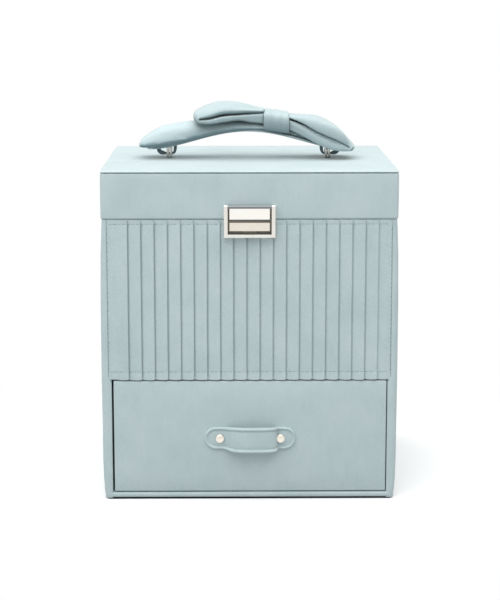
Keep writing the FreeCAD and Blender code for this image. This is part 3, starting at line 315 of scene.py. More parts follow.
cover_velvet = velvet("brushed_velvet_cover", "#a9bcbf", "#c1d0d2", 0.5)
COVER_ROWS = [1.2, 2.0, 3.2, 5, 8, 12, 17, 24, 32, 42, 54, 66, 78, 86, 90, 91.2, 92.4, 93.6, 95, 100] + [
    100 + 8.7 * step for step in range(1, 13)] + [207.0, 210.0, 212.0, 213.4]
COVER_PLAN = [
    *curl((-COVER_CORNER, COVER_REAR - COVER_CORNER), COVER_CORNER, 90, 0, 5),
    *[(0.0, COVER_REAR - COVER_CORNER - step * COVER_STEP) for step in range(1, 14)],
    *curl((-COVER_CORNER, COVER_FRONT + COVER_CORNER), COVER_CORNER, 0, -90, 6),
]
for side, way in (("left", -1), ("right", 1)):
    def cover_point(u, v, way=way):
        """A place on the side's plan, from its back edge round to the lap on its front edge."""
        column = round(u * (len(COVER_PLAN) + 2))
        z = COVER_ROWS[round(v * (len(COVER_ROWS) - 1))]
        reach = between(COVER_REACH, z)
        edge = BAY_EDGE + (PANEL_EDGE - BAY_EDGE) * min(1, max(0, (z - BAY_TOP) / BAY_TURN))
        if column < len(COVER_PLAN):
            inset, y = COVER_PLAN[column]
            full = min(1, (1 - abs(y / COVER_REAR) ** 6) * 1.6 + 0.55)
            x = COVER_SEAT + (reach - COVER_SEAT) * full + inset
        else:
            out, back = COVER_LAP[column - len(COVER_PLAN)]
            x, y = edge + out, COVER_FRONT + back
        return (way * x, y, z)

    side_cover = sheet(f"{side}_cover", len(COVER_PLAN) + 2, len(COVER_ROWS) - 1, cover_point)
    if way > 0:
        turn_over(side_cover)
    work(side_cover, "SOLIDIFY", thickness=COVER_THICK * MM, offset=-1)
    outward(side_cover)
    smooth(side_cover, cover_velvet, 50)
    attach(side_cover, "case")
    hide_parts(f"{side}_side_wrap")

# Back cover: the same velvet drawn over the back board and turned round its edges.
# Its belly is slight, because the hinges are screwed through it into the board.
BACK_REACH = 108.6
BACK_FOOT = 1.2
BACK_TALL = 212.2
BACK_FACE = 97.4
BACK_BELLY = 0.5
BACK_TURN = 0.7


def back_point(u, v):
    x, z = BACK_REACH * (2 * u - 1), BACK_FOOT + BACK_TALL * v
    belly = BACK_BELLY * (1 - (2 * u - 1) ** 4) * (1 - (2 * v - 1) ** 4)
    turned = BACK_TURN * max(abs(2 * u - 1) ** 60, abs(2 * v - 1) ** 60)
    return (x, BACK_FACE + belly - turned, z)


back_cover = sheet("back_cover", 48, 48, back_point)
turn_over(back_cover)
work(back_cover, "SOLIDIFY", thickness=COVER_THICK * MM, offset=-1)
outward(back_cover)
smooth(back_cover, cover_velvet)
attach(back_cover, "case")
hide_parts("back_wrap")

# Sill cover: a strip of the same velvet folded over the bottom board's front edge, below the drawer.
# It is glued down by hand, and ripples a little where it was pulled.
SILL_HALF = 105.4
SILL_THICK = 0.35
SILL_RIPPLE = 0.18
SILL_ROWS = (
    (-96.5, 1.6), (-97.15, 1.6), (-97.5, 1.9), (-97.65, 2.6), (-97.65, 3.7), (-97.45, 4.7), (-96.9, 5.12),
    (-96.0, 5.25), (-92.0, 5.25),
)


def sill_point(u, v):
    y, z = SILL_ROWS[round(v * (len(SILL_ROWS) - 1))]
    ripple = SILL_RIPPLE * noise.noise(Vector((u * 9, 3.1, 0)))
    return (SILL_HALF * (2 * u - 1), y - ripple * (y < -97), z + ripple * (4 < z < 5.2))


sill_cover = sheet("sill_cover", 60, len(SILL_ROWS) - 1, sill_point)
work(sill_cover, "SOLIDIFY", thickness=SILL_THICK * MM, offset=-1)
outward(sill_cover)
smooth(sill_cover, cover_velvet, 60)
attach(sill_cover, "case")
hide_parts("sill_wrap")

# Rim binding: the cover's turned edge, glued flat over the tops of the four case walls.
# A thin frame of velvet with a soft outer corner, seen when the lid is up.
RIM_LOW = 213.4
RIM_TOP = 213.62
RIM_OUT = (109.0, 96.9)
RIM_IN = (102.5, 90.1)
rim = block("rim_binding", (-RIM_OUT[0], -RIM_OUT[1], RIM_LOW), (RIM_OUT[0], RIM_OUT[1], RIM_TOP))
for facing in (1, -1):
    pick(rim, "FACE", lambda middle, way, facing=facing: way.z * facing > 0.9)
    bpy.ops.mesh.inset(thickness=(RIM_OUT[0] - RIM_IN[0]) * MM, use_even_offset=True)
    bpy.ops.mesh.delete(type="FACE")
pick(rim, "EDGE", lambda middle, way: abs(middle.x) < RIM_IN[0] + 0.5 and abs(middle.y) < RIM_IN[1] + 0.9)
bpy.ops.mesh.bridge_edge_loops()
bpy.ops.object.mode_set(mode="OBJECT")
outward(rim)
work(rim, "BEVEL", width=0.09 * MM, segments=2, limit_method="ANGLE", angle_limit=math.radians(50))
smooth(rim, cover_velvet)
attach(rim, "case")

# Pleated front: one length of velvet laid in twenty knife pleats, each fold lapping the next on its right.
# It is stitched all round by a machine and glued to the front board; the hem hangs a little uneven.
PANEL_LEFT = -105.6
PANEL_RIGHT = 105.6
PLEAT_START = -99.75
PLEAT_PITCH = 9.78
PLEAT_COUNT = 20
PLEAT_BACK = -96.95
PLEAT_THICK = 0.3
PLEAT_SWAY = 0.13
HEM_DEEP = 8.0
HEM_SCALLOP = 0.55
HEM_UNEVEN = 0.3
HEM_FLARE = 0.12
PLEAT_FOLD = (
    (-0.1, -0.30), (0.35, -0.28), (0.75, 0.04), (1.3, 0.20), (2.6, 0.30), (4.8, 0.50), (7.2, 0.76), (8.5, 0.92),
    (9.0, 0.94), (9.3, 0.86), (9.42, 0.66), (9.34, 0.48), (9.0, 0.40), (8.7, 0.30), (8.7, -0.30),
)
STITCH_LOW = 98.7
STITCH_HIGH = 210.2
STITCH_PRESS = 0.38
PRESS_WIDE = 1.6
PLEAT_ROWS = [92.8, 93.2, 93.9, 95.2, 96.8, 98.1, 98.7, 99.3, 100.6, 103.0] + [
    103 + 8.4 * step for step in range(1, 13)] + [206.0, 208.4, 209.6, 210.2, 210.8, 211.8, 212.8, 213.3]
MARGIN = ((0.0, -0.10), (0.15, 0.05), (0.7, 0.13))
pleat_line = [(PANEL_LEFT + x, rise, 0) for x, rise in MARGIN] + [(PANEL_LEFT + 2.2, 0.18, 0)]
for count in range(PLEAT_COUNT):
    for step, (x, rise) in enumerate(PLEAT_FOLD):
        filled = count == 0 and step < 4
        pleat_line.append((PLEAT_START + PLEAT_PITCH * count + x, max(rise, 0.2) if filled else rise, count))
last_fold = PLEAT_START + PLEAT_PITCH * PLEAT_COUNT
pleat_line += [(last_fold + x, rise, PLEAT_COUNT) for x, rise in ((1.2, 0.16), (4.0, 0.2))]
pleat_line += [(PANEL_RIGHT - x, rise, PLEAT_COUNT) for x, rise in reversed(MARGIN)]


def lay_painted_shade(piece, share):
    """Marks each point of a piece with how much painted shade it gets, from none to all."""
    painted_shade = piece.data.attributes.new("painted_shade", "FLOAT", "POINT")
    for point in piece.data.vertices:
        painted_shade.data[point.index].value = min(1, max(0, share(point)))


def pleat_rise(rise, z):
    """How far the folds stand out, pressed flatter along the two rows of stitching."""
    pressed = sum(math.exp(-((z - row) / PRESS_WIDE) ** 2) for row in (STITCH_LOW, STITCH_HIGH))
    return rise * (1 - STITCH_PRESS * pressed)


def pleat_point(u, v):
    """A place along the folded line, on one of the rows from the hem to the header above the stitches."""
    x, rise, count = pleat_line[round(u * (len(pleat_line) - 1))]
    z = PLEAT_ROWS[round(v * (len(PLEAT_ROWS) - 1))]
    inside = PANEL_LEFT + 3 < x < PANEL_RIGHT - 3
    sway = PLEAT_SWAY * noise.noise(Vector((count * 3.7, z / 34, 0.5))) if inside else 0
    hem = max(0, 1 - (z - PLEAT_ROWS[0]) / HEM_DEEP)
    along = (x - PLEAT_START - PLEAT_PITCH * count) / PLEAT_PITCH
    uneven = HEM_UNEVEN * noise.noise(Vector((count * 5.3, 8, 2)))
    scallop = hem * (HEM_SCALLOP * math.sin(math.pi * min(1, max(0, along))) + uneven)
    header = min(1, max(0, (z - STITCH_HIGH + 0.4) / 1.2))
    out = pleat_rise(rise, z) if rise > 0 else rise * (1 - 0.75 * header)
    return (x + sway, PLEAT_BACK - out - HEM_FLARE * hem * (rise > 0.5), z - scallop)


pleats = sheet("pleated_front", len(pleat_line) - 1, len(PLEAT_ROWS) - 1, pleat_point)
work(pleats, "SOLIDIFY", thickness=PLEAT_THICK * MM, offset=-1)
outward(pleats)


def pleat_painted_shade(point):
    """Painted shade for a point: on the hem where it faces down, and between two folds by how deep it lies, stronger to
    the left, none at the panel's ends and less above the stitches.
    """
    if point.co.z < PLEAT_ROWS[2] * MM:
        return -0.9 * point.normal.z
    if abs(point.co.x) > (PANEL_RIGHT - 4) * MM:
        return 0
    depth = min(1, (0.18 - PLEAT_BACK + point.co.y / MM) / 0.4)
    shade_share = 0.2 - 0.1 * point.co.x / (PANEL_RIGHT * MM)
    return depth * shade_share * (0.4 if point.co.z > STITCH_HIGH * MM else 1)


# The pleats' dark tone is painted shade, laid in their crevices and under the hem.
lay_painted_shade(pleats, pleat_painted_shade)
pleat_velvet = velvet("pleated_velvet", "#a9bcbf", "#c1d0d2", 0.5, "#3f4f54")
smooth(pleats, pleat_velvet, 60)
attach(pleats, "case")
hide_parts("pleated_panel")

# Front stitching: a row of lockstitch across the top and the hem of the pleats and down both sides.
# Polyester thread in the cover's colour, twisted, each stitch about 3 mm and sunk into the pile.
STITCH = 2.9
STITCH_GAP = 0.5
STITCH_IN = 0.45
THREAD = 0.22
THREAD_PROUD = 0.02
TWIST = 0.5
thread, thread_shader = surface("twisted_polyester_thread", Roughness=0.55, Sheen_Weight=0.2)
thread_at = node(thread, "TexCoord", {}).outputs["Object"]
ply = node(
    thread, "TexWave", {"Vector": thread_at, "Scale": 1 / (TWIST * MM) / 20, "Distortion": 0.4},
    bands_direction="DIAGONAL",
)
thread_tone = node(
    thread, "Mix", {0: ply.outputs["Fac"], 6: linear("#74888c"), 7: linear("#93a6aa")}, data_type="RGBA",
)
join(thread, thread_tone.outputs[2], thread_shader, "Base Color")


def front_at(x, z):
    """The level of the pleats' outer face at a place across the front."""
    shown = [(place, rise) for place, rise, _ in pleat_line if rise > 0.05]
    best = 0.0
    for (a, low), (b, high) in zip(shown, shown[1:]):
        if a <= x <= b:
            best = max(best, low + (high - low) * (x - a) / (b - a))
    return PLEAT_BACK - pleat_rise(best, z)


def sew(name, runs, thread_radius, material):
    """Stitches from point to point, in millimetres: one small bead modelled, then copied and joined."""
    bpy.ops.object.select_all(action="DESELECT")
    bpy.ops.mesh.primitive_uv_sphere_add(segments=8, ring_count=6, radius=1)
    bead = bpy.context.object
    bpy.ops.object.select_all(action="DESELECT")
    made = []
    for start, end in runs:
        start, end = Vector(start), Vector(end)
        stitch = bead.copy()
        stitch.data = bead.data.copy()
        bpy.context.scene.collection.objects.link(stitch)
        turn = (end - start).to_track_quat("Z", "Y").to_matrix().to_4x4()
        stretch = Matrix.Diagonal((thread_radius * MM, thread_radius * MM, (end - start).length / 2 * MM, 1))
        stitch.data.transform(Matrix.Translation((start + end) / 2 * MM) @ turn @ stretch)
        made.append(stitch)
    bpy.data.objects.remove(bead)
    for stitch in made:
        stitch.select_set(True)
    bpy.context.view_layer.objects.active = made[0]
    bpy.ops.object.join()
    row = bpy.context.object
    row.name = row.data.name = name
    outward(row)
    smooth(row, material, 60)
    return row


stitches = []
for z in (STITCH_LOW, STITCH_HIGH):
    x = PANEL_LEFT + 1.2
    while x + STITCH < PANEL_RIGHT - 1.0:
        stitches.append([(place, front_at(place, z) - THREAD_PROUD, z) for place in (x, x + STITCH)])
        x += STITCH + STITCH_GAP
for x in (PANEL_LEFT + STITCH_IN, PANEL_RIGHT - STITCH_IN):
    z = STITCH_LOW + 0.8
    while z + STITCH < STITCH_HIGH - 0.5:
        stitches.append([(x, PLEAT_BACK - THREAD_PROUD, place) for place in (z, z + STITCH)])
        z += STITCH + STITCH_GAP
front_stitching = sew("front_stitching", stitches, THREAD, thread)
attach(front_stitching, "case")

# Compartment lining: velvet of the same dye over thin card, one open box dropped between the walls.
# Two lined ledges on its sides carry the lift-out tray.
LINING_THICK = 0.8
INNER_LOW = (-103.4, -90.9, 96.5)
INNER_HIGH = (103.4, 90.9, 212.4)
lining_velvet = velvet("plush_lining", "#9fb2b6", "#b9c9cc", 0.25)


def lined_box(name, low, high, wall, floor, open_way):
    """A box with one open side, its wall and floor in millimetres, hollowed by inset and extrude."""
    piece = block(name, low, high)
    pick(piece, "FACE", lambda middle, way: way.z * open_way > 0.9)
    bpy.ops.mesh.inset(thickness=wall * MM, use_even_offset=True)
    bpy.ops.mesh.extrude_region_move(
        TRANSFORM_OT_translate={"value": (0, 0, -open_way * (high[2] - low[2] - floor) * MM)},
    )
    bpy.ops.object.mode_set(mode="OBJECT")
    outward(piece)
    work(
        piece, "BEVEL", width=0.38 * wall * MM, segments=3, limit_method="ANGLE", angle_limit=math.radians(50),
    )
    return piece


inner_lining = lined_box("compartment_velvet", INNER_LOW, INNER_HIGH, LINING_THICK, LINING_THICK, 1)
smooth(inner_lining, lining_velvet)
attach(inner_lining, "case")
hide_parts("compartment_lining")
dress(["tray_ledges"], lining_velvet, 0.8)

# Lift-out tray: card walls covered in the lining velvet, with one long divider and two short ones.
# The dividers slot into the walls, and their tops are rounded by the velvet folded over them.
TRAY_LOW = (-101.8, -89.3, 174.4)
TRAY_HIGH = (101.8, 89.3, 210.4)
TRAY_WALL = 2.4
DIVIDER_LOW = 176.8
DIVIDER_HIGH = 206.4
DIVIDER_ROUND = 0.85
tray = lined_box("velvet_tray", TRAY_LOW, TRAY_HIGH, TRAY_WALL, TRAY_WALL, 1)
smooth(tray, lining_velvet)
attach(tray, "tray")
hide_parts("tray_shell")
for name, low, high, replaced in (
    ("long", (-99.2, 11.0), (99.2, 13.0), "tray_long_divider"),
    ("left", (-35.0, 13.0), (-33.0, 86.7), "tray_cross_dividers"),
    ("right", (33.0, 13.0), (35.0, 86.7), "tray_cross_dividers"),
):
    divider = block(f"{name}_divider", (*low, DIVIDER_LOW), (*high, DIVIDER_HIGH))
    pick(divider, "EDGE", lambda middle, way: abs(middle.z - DIVIDER_HIGH) < 0.01 and abs(way.z) < 0.1)
    bpy.ops.mesh.bevel(offset=DIVIDER_ROUND * MM, segments=4)
    bpy.ops.object.mode_set(mode="OBJECT")
    smooth(divider, lining_velvet)
    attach(divider, "tray")
    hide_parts(replaced)

# Hinges: two steel butt hinges, nickel plated, their leaves screwed through the cover into the boards.
# The plate is bright, with fine drawn lines along the knuckles and a little haze.
DRAWN_LINE = 0.35
HAZE_PATCH = 9.0


def plated(name, bright, dull, rough, hazy, painted_shade_part=None):
    """Nickel plate over a pressed or cast blank: near mirror bright, with a faint haze left by polishing.
    A part drawn darker as painted shade, if there is one, is given by the levels where it starts and is full,
    its half width and its tone."""
    material, shader = surface(name, Metallic=1.0)
    at = node(material, "TexCoord", {}).outputs["Object"]
    haze = node(material, "TexNoise", {"Vector": at, "Scale": 1 / (HAZE_PATCH * MM), "Detail": 4.0})
    drawn = node(material, "Mapping", {"Vector": at, "Scale": (0.06, 1.0, 1.0)})
    lines = node(
        material, "TexNoise", {"Vector": drawn.outputs["Vector"], "Scale": 1 / (DRAWN_LINE * MM), "Detail": 2.0},
    )
    tone = node(
        material, "Mix", {0: haze.outputs["Fac"], 6: linear(dull), 7: linear(bright)}, data_type="RGBA",
    )
    if painted_shade_part:
        start, full, half, dark = painted_shade_part
        place = node(material, "SeparateXYZ", {0: at})
        level = node(material, "MapRange", {"Value": place.outputs["Z"], "From Min": start * MM, "From Max": full * MM})
        aside = node(material, "Math", {0: place.outputs["X"]}, operation="ABSOLUTE")
        within = node(
            material, "MapRange",
            {"Value": aside.outputs[0], "From Min": (half + 0.2) * MM, "From Max": (half - 0.2) * MM},
        )
        share = node(material, "Math", {0: level.outputs["Result"], 1: within.outputs["Result"]}, operation="MULTIPLY")
        tone = node(
            material, "Mix", {0: share.outputs[0], 6: tone.outputs[2], 7: linear(dark)}, data_type="RGBA",
        )
    join(material, tone.outputs[2], shader, "Base Color")
    spread = node(
        material, "MapRange",
        {"Value": lines.outputs["Fac"], "From Min": 0.3, "From Max": 0.7, "To Min": rough, "To Max": hazy},
    )
    join(material, spread.outputs["Result"], shader, "Roughness")
    bump = node(material, "Bump", {"Height": lines.outputs["Fac"], "Strength": 0.04, "Distance": 0.05 * MM})
    join(material, bump.outputs["Normal"], shader, "Normal")
    return material


hinge_plate = plated("nickel_plated_steel", "#d6d5d0", "#bdbcb8", 0.2, 0.34)
dress(
    [f"{side}_hinge_{owner}_leaf" for side in ("left", "right") for owner in ("case", "lid")], hinge_plate, 0.25,
)
dress(["hinge_pins", "hinge_case_screws", "hinge_lid_screws"], hinge_plate, 0.15)

# Lid boards: a 4 mm top on four 5 mm walls, of the same papered greyboard as the case.
# They are glued edge to edge into a shallow box that opens downward.
dress(
    ["lid_top_board", "lid_front_board", "lid_back_board", "lid_left_board", "lid_right_board"], paper, 0.3,
)

# Lid band: a strip of the cover velvet round the walls, turned under at the bottom edge and over at the top.
# Its upper edge tucks into a narrow seam beneath the top panel.
BAND_REACH = (109.9, 97.45)
BAND_CORNER = 2.4
BAND_WAVE = 0.1
BAND_ROWS = (
    (213.82, -5.0), (213.80, -1.6), (213.84, -0.9), (214.1, -0.35), (214.6, -0.06), (215.4, 0.0), (222.0, 0.05),
    (231.0, 0.1), (240.0, 0.05), (246.4, 0.0), (247.1, -0.08), (247.5, -0.35), (247.7, -0.8), (247.75, -1.4),
)


def ring(reach, corner, count):
    """The plan of a rounded rectangle, anticlockwise, with points along its sides."""
    line = []
    for turn, (sx, sy) in enumerate(((1, 1), (-1, 1), (-1, -1), (1, -1))):
        middle = (sx * (reach[0] - corner), sy * (reach[1] - corner))
        line += curl(middle, corner, 90 * turn, 90 * turn + 90, 6)
        after = ((-1, 1), (-1, -1), (1, -1), (1, 1))[turn]
        start = line[-1]
        turned = math.radians(90 * turn + 90)
        end = (after[0] * (reach[0] - corner) + corner * math.cos(turned),
               after[1] * (reach[1] - corner) + corner * math.sin(turned))
        line += [(start[0] + (end[0] - start[0]) * step / count, start[1] + (end[1] - start[1]) * step / count)
                 for step in range(1, count)]
    return line


band_plan = ring(BAND_REACH, BAND_CORNER, 24)


def band_point(u, v):
    """A place on the lid's plan, moved out or in by the row's own offset and a slight wave."""
    at = round(u * len(band_plan)) % len(band_plan)
    x, y = band_plan[at]
    z, out = BAND_ROWS[round(v * (len(BAND_ROWS) - 1))]
    core = Vector((max(-BAND_REACH[0] + BAND_CORNER, min(BAND_REACH[0] - BAND_CORNER, x)),
                   max(-BAND_REACH[1] + BAND_CORNER, min(BAND_REACH[1] - BAND_CORNER, y))))
    away = (Vector((x, y)) - core).normalized()
    wave = BAND_WAVE * noise.noise(Vector((x / 30, y / 30, z / 22))) if 214.5 < z < 246.5 else 0
    return (x + away.x * (out + wave), y + away.y * (out + wave), z)


lid_band = sheet("lid_velvet_band", len(band_plan), len(BAND_ROWS) - 1, band_point)
outward(lid_band)
smooth(lid_band, cover_velvet, 60)
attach(lid_band, "lid")
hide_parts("lid_band")

# Lid top panel: velvet over a sheet of thin foam on the top board, its edges drawn down into the seam.
# The foam lifts the middle by a fraction of a millimetre and rounds the edge.
LID_TOP = 249.0
PANEL_LOW = 248.25
TOP_REACH = (110.1, 97.65)
TOP_ROUND = 0.5
TOP_CROWN = 0.35
TOP_TUCK = 0.2
TOP_RIPPLE = 0.12
RIPPLE_LONG = 38.0


def score(axis, place):
    """Cuts a mesh in edit mode right through at a place along an axis, in millimetres."""
    cut_at, cut_way = [0, 0, 0], [0, 0, 0]
    cut_at[axis], cut_way[axis] = place * MM, 1
    bpy.ops.mesh.select_all(action="SELECT")
    bpy.ops.mesh.bisect(plane_co=cut_at, plane_no=cut_way)


top_panel = block(
    "lid_top_panel", (-TOP_REACH[0], -TOP_REACH[1], PANEL_LOW), (TOP_REACH[0], TOP_REACH[1], LID_TOP),
)
pick(top_panel, "EDGE", lambda middle, way: abs(way.z) > 0.9)
bpy.ops.mesh.bevel(offset=BAND_CORNER * MM, segments=5)
pick(top_panel, "EDGE", lambda middle, way: abs(middle.z - LID_TOP) < 0.01)
bpy.ops.mesh.bevel(offset=TOP_ROUND * MM, segments=5)
pick(top_panel, "EDGE", lambda middle, way: abs(middle.z - PANEL_LOW) < 0.01)
bpy.ops.mesh.bevel(offset=TOP_TUCK * MM, segments=2)
for share in range(-9, 10):
    for axis in (0, 1):
        score(axis, share / 10 * TOP_REACH[axis])
bpy.ops.object.mode_set(mode="OBJECT")
for point in top_panel.data.vertices:
    if point.co.z > (LID_TOP - 0.1) * MM:
        share = [abs(point.co[axis] / MM) / TOP_REACH[axis] for axis in (0, 1)]
        lift = TOP_CROWN * (1 - share[0] ** 4) * (1 - share[1] ** 4)
        point.co.z += (lift + TOP_RIPPLE * noise.noise(point.co / (RIPPLE_LONG * MM))) * MM
smooth(top_panel, cover_velvet, 50)
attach(top_panel, "lid")
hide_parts("lid_top_cover")

# Lid lining: lining velvet over card, pushed up into the lid against the top board.
# One open box, its rims glued to the lid's walls.
LID_LINING_LOW = (-103.9, -91.4, 215.0)
LID_LINING_HIGH = (103.9, 91.4, 243.5)
lid_lining = lined_box("lid_velvet_lining", LID_LINING_LOW, LID_LINING_HIGH, LINING_THICK, LINING_THICK, -1)
smooth(lid_lining, lining_velvet)
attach(lid_lining, "lid")
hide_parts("lid_lining")

# Mirror: float glass silvered on its back, held to the lid's ceiling by a velvet-covered card frame.
# The glass is faintly green, with a few dull smudges where it was wiped.
dress(["mirror_frame"], lining_velvet, 0.6)
SMUDGE = 18.0
mirror, mirror_shader = surface("silvered_float_glass", Metallic=1.0)
mirror_at = node(mirror, "TexCoord", {}).outputs["Object"]
smudges = node(mirror, "TexNoise", {"Vector": mirror_at, "Scale": 1 / (SMUDGE * MM), "Detail": 5.0})
mirror_tone = node(
    mirror, "Mix", {0: smudges.outputs["Fac"], 6: linear("#e3eae9"), 7: linear("#edf3f2")}, data_type="RGBA",
)
join(mirror, mirror_tone.outputs[2], mirror_shader, "Base Color")
mirror_haze = node(
    mirror, "MapRange",
    {"Value": smudges.outputs["Fac"], "From Min": 0.4, "From Max": 0.8, "To Min": 0.01, "To Max": 0.06},
)
join(mirror, mirror_haze.outputs["Result"], mirror_shader, "Roughness")
dress(["mirror_glass"], mirror, 0.3)

# Latch: die-cast zinc, polished and nickel plated. A frame and a plate are pinned to the lid, and a button
# on the case, pushed out by a blackened steel leaf spring, catches the frame's lower rail with its tongue.
# The frame's top rail and the button's tongue are drawn dark by their level: painted shade.
# The base and the clip are blackened steel; on the base that black is also painted shade in the gaps.
# Flat dark sheets behind the plate and the button are painted shade in the gaps round them.
LATCH_HALF = 16.4
latch_nickel = plated("polished_nickel_zinc", "#fffdf8", "#f8f5ee", 0.1, 0.2)
# The top rail's grey and the tongue's dark tone are painted shade.
frame_nickel = plated("polished_nickel_frame", "#f0eee8", "#e2e0d9", 0.1, 0.2, (222.1, 222.4, LATCH_HALF, "#84898a"))
button_nickel = plated("nickel_with_painted_shade_tongue", "#efe8dc", "#e3dccf", 0.12, 0.24, (205.5, 205.3, 20.0, "#4a463e"))
blackened_steel_and_shade = plated("blackened_steel_and_painted_shade", "#2b2b2c", "#1b1b1c", 0.3, 0.45)
dress(["latch_lid_plate"], latch_nickel, 0.3)
dress(["latch_frame"], frame_nickel, 0.4)
dress(["latch_button"], button_nickel, 0.25)
# Blackened steel; on the latch base its black is also painted shade in the gaps.
dress(["latch_base", "latch_clip"], blackened_steel_and_shade, 0.1)
SPRING_HALF = 9.0
SPRING_SEAT = -98.78
SPRING_BOW = 0.86
SPRING_LOW = 207.25
SPRING_WIDE = 2.6
SPRING_THICK = 0.12


def spring_point(u, v):
    bowed = SPRING_BOW * math.sin(math.pi * u) ** 1.4
    return (SPRING_HALF * (2 * u - 1), SPRING_SEAT - bowed, SPRING_LOW + SPRING_WIDE * v)


leaf_spring = sheet("latch_leaf_spring", 32, 4, spring_point)
work(leaf_spring, "SOLIDIFY", thickness=SPRING_THICK * MM, offset=0)
outward(leaf_spring)
smooth(leaf_spring, blackened_steel_and_shade)
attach(leaf_spring, "case")
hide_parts("latch_spring")
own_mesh(leaf_spring)
# Painted shade: dark sheets behind the plate and the button, filling the gaps round them.
shaded_zinc = plated("zinc_painted_shade", "#77736a", "#67635a", 0.6, 0.3)
for name, body, front, back, low, high in (
    ("latch_lid_shade_sheet", "lid", -99.4, -98.9, 214.0, 222.6),
    ("latch_case_shade_sheet", "case", -98.75, -98.45, 203.0, 213.2),
):
    latch_shade_sheet = block(name, (-LATCH_HALF, front, low), (LATCH_HALF, back, high))
    work(latch_shade_sheet, "BEVEL", width=0.12 * MM, segments=2)
    smooth(latch_shade_sheet, shaded_zinc)
    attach(latch_shade_sheet, body)

# Drawer: a thin card box behind a 5 mm front board, papered like the case and lined in velvet.
# Its walls are glued to the front and the bottom, and it slides on the case's bottom board.
dress(
    ["drawer_front_board", "drawer_left_side", "drawer_right_side", "drawer_back", "drawer_bottom"], paper, 0.4,
)
DRAWER_LOW = (-98.0, -91.4, 8.4)
DRAWER_HIGH = (98.8, 84.9, 81.5)
drawer_lining = lined_box("drawer_velvet_lining", DRAWER_LOW, DRAWER_HIGH, LINING_THICK, LINING_THICK, 1)
smooth(drawer_lining, lining_velvet)
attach(drawer_lining, "drawer")
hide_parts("drawer_lining")

# Drawer front: velvet drawn over the front board with a skin of wadding, and turned over its edges.
# It is glued behind the board, so the face swells a little and its edges are soft.
FRONT_LOW = (-102.0, -97.3, 6.1)
FRONT_HIGH = (102.8, -91.6, 91.6)
FRONT_ROUND = 0.9
FRONT_CROWN = 0.3
drawer_front = block("drawer_velvet_front", FRONT_LOW, FRONT_HIGH)
pick(drawer_front, "EDGE", lambda middle, way: abs(way.y) > 0.9)
bpy.ops.mesh.bevel(offset=FRONT_ROUND * MM, segments=3)
pick(drawer_front, "EDGE", lambda middle, way: abs(middle.y - FRONT_LOW[1]) < 0.01)
bpy.ops.mesh.bevel(offset=FRONT_ROUND * MM, segments=4)
for axis, count in ((0, 15), (2, 7)):
    for step in range(1, count):
        score(axis, FRONT_LOW[axis] + (FRONT_HIGH[axis] - FRONT_LOW[axis]) * step / count)
bpy.ops.object.mode_set(mode="OBJECT")
for point in drawer_front.data.vertices:
    if point.co.y < (FRONT_LOW[1] + 0.1) * MM:
        shares = [
            2 * (point.co[axis] / MM - FRONT_LOW[axis]) / (FRONT_HIGH[axis] - FRONT_LOW[axis]) - 1 for axis in (0, 2)
        ]
        point.co.y -= FRONT_CROWN * (1 - shares[0] ** 4) * (1 - shares[1] ** 4) * MM
smooth(drawer_front, cover_velvet, 50)
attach(drawer_front, "drawer")
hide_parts("drawer_front_cover")

# Drawer pull: a strap of two layers of velvet with a rolled, stitched edge and round ends.
# It is riveted flat at each end and bows out between the rivets for the fingers.
PULL_MIDDLE = (0.4, 47.7)
PULL_HALF = 34.6
PULL_WIDE = 8.7
PULL_THICK = 0.75
PULL_SPREAD = 0.14
PULL_RAISED = 7.0
PULL_SEAT = -97.5
PULL_PATH = (
    (-PULL_HALF, 0.0), (-27.0, 0.0), (-22.0, 0.0), (-19.2, 0.35), (-16.6, 2.2), (-13.4, 5.2), (-8.5, 7.5),
    (-1.0, 8.3), (8.0, 8.2), (14.0, 7.6), (17.6, 6.2), (18.7, 4.0), (18.9, 2.0), (19.6, 0.45), (21.5, 0.0),
    (27.0, 0.0), (PULL_HALF, 0.0),
)
PULL_ROLL = (
    (0.0, 0.35), (0.35, 1.3), (0.8, 1.95), (1.35, 2.1), (1.9, 1.8), (2.35, 1.0), (2.8, 0.8), (3.6, 1.15),
    (5.5, 1.3), (8.5, 1.35),
)
PULL_STEPS = 128
PULL_LINES = 48


def smooth_line(points, count):
    """Points at even shares of a soft line through a table of points."""
    ends = [points[0], *points, points[-1]]
    line = []
    for step in range(count + 1):
        place = step / count * (len(points) - 1)
        at = min(int(place), len(points) - 2)
        t = place - at
        a, b, c, d = (Vector(point) for point in ends[at:at + 4])
        bend = (2 * a - 5 * b + 4 * c - d) * t * t + (3 * b - a - 3 * c + d) * t ** 3
        line.append(0.5 * (2 * b + (c - a) * t + bend))
    return line


pull_line = smooth_line(PULL_PATH, PULL_STEPS)


def pull_point(u, v):
    """A place along the bowed line and across the strap, raised by the roll that follows its outline."""
    at = round(u * PULL_STEPS)
    here = pull_line[at]
    step = pull_line[min(PULL_STEPS, at + 1)] - pull_line[max(0, at - 1)]
    normal = Vector((-step.y, step.x)).normalized()
    past = max(0, abs(here.x) - (PULL_HALF - PULL_WIDE))
    wide = math.sqrt(max(0.04, PULL_WIDE ** 2 - past ** 2))
    z = wide * math.sin(math.pi * (v - 0.5))
    inside = PULL_WIDE - math.hypot(past, z)
    flat = here + normal * between(PULL_ROLL, inside)
    spread = 1 + PULL_SPREAD * min(1, here.y / PULL_RAISED)
    return (PULL_MIDDLE[0] + flat.x, PULL_SEAT - flat.y, PULL_MIDDLE[1] + z * spread)


pull = sheet("drawer_pull_strap", PULL_STEPS, PULL_LINES, pull_point)
work(pull, "SOLIDIFY", thickness=PULL_THICK * MM, offset=-1)
outward(pull)
smooth(pull, cover_velvet, 70)
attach(pull, "drawer")
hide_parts("drawer_pull")

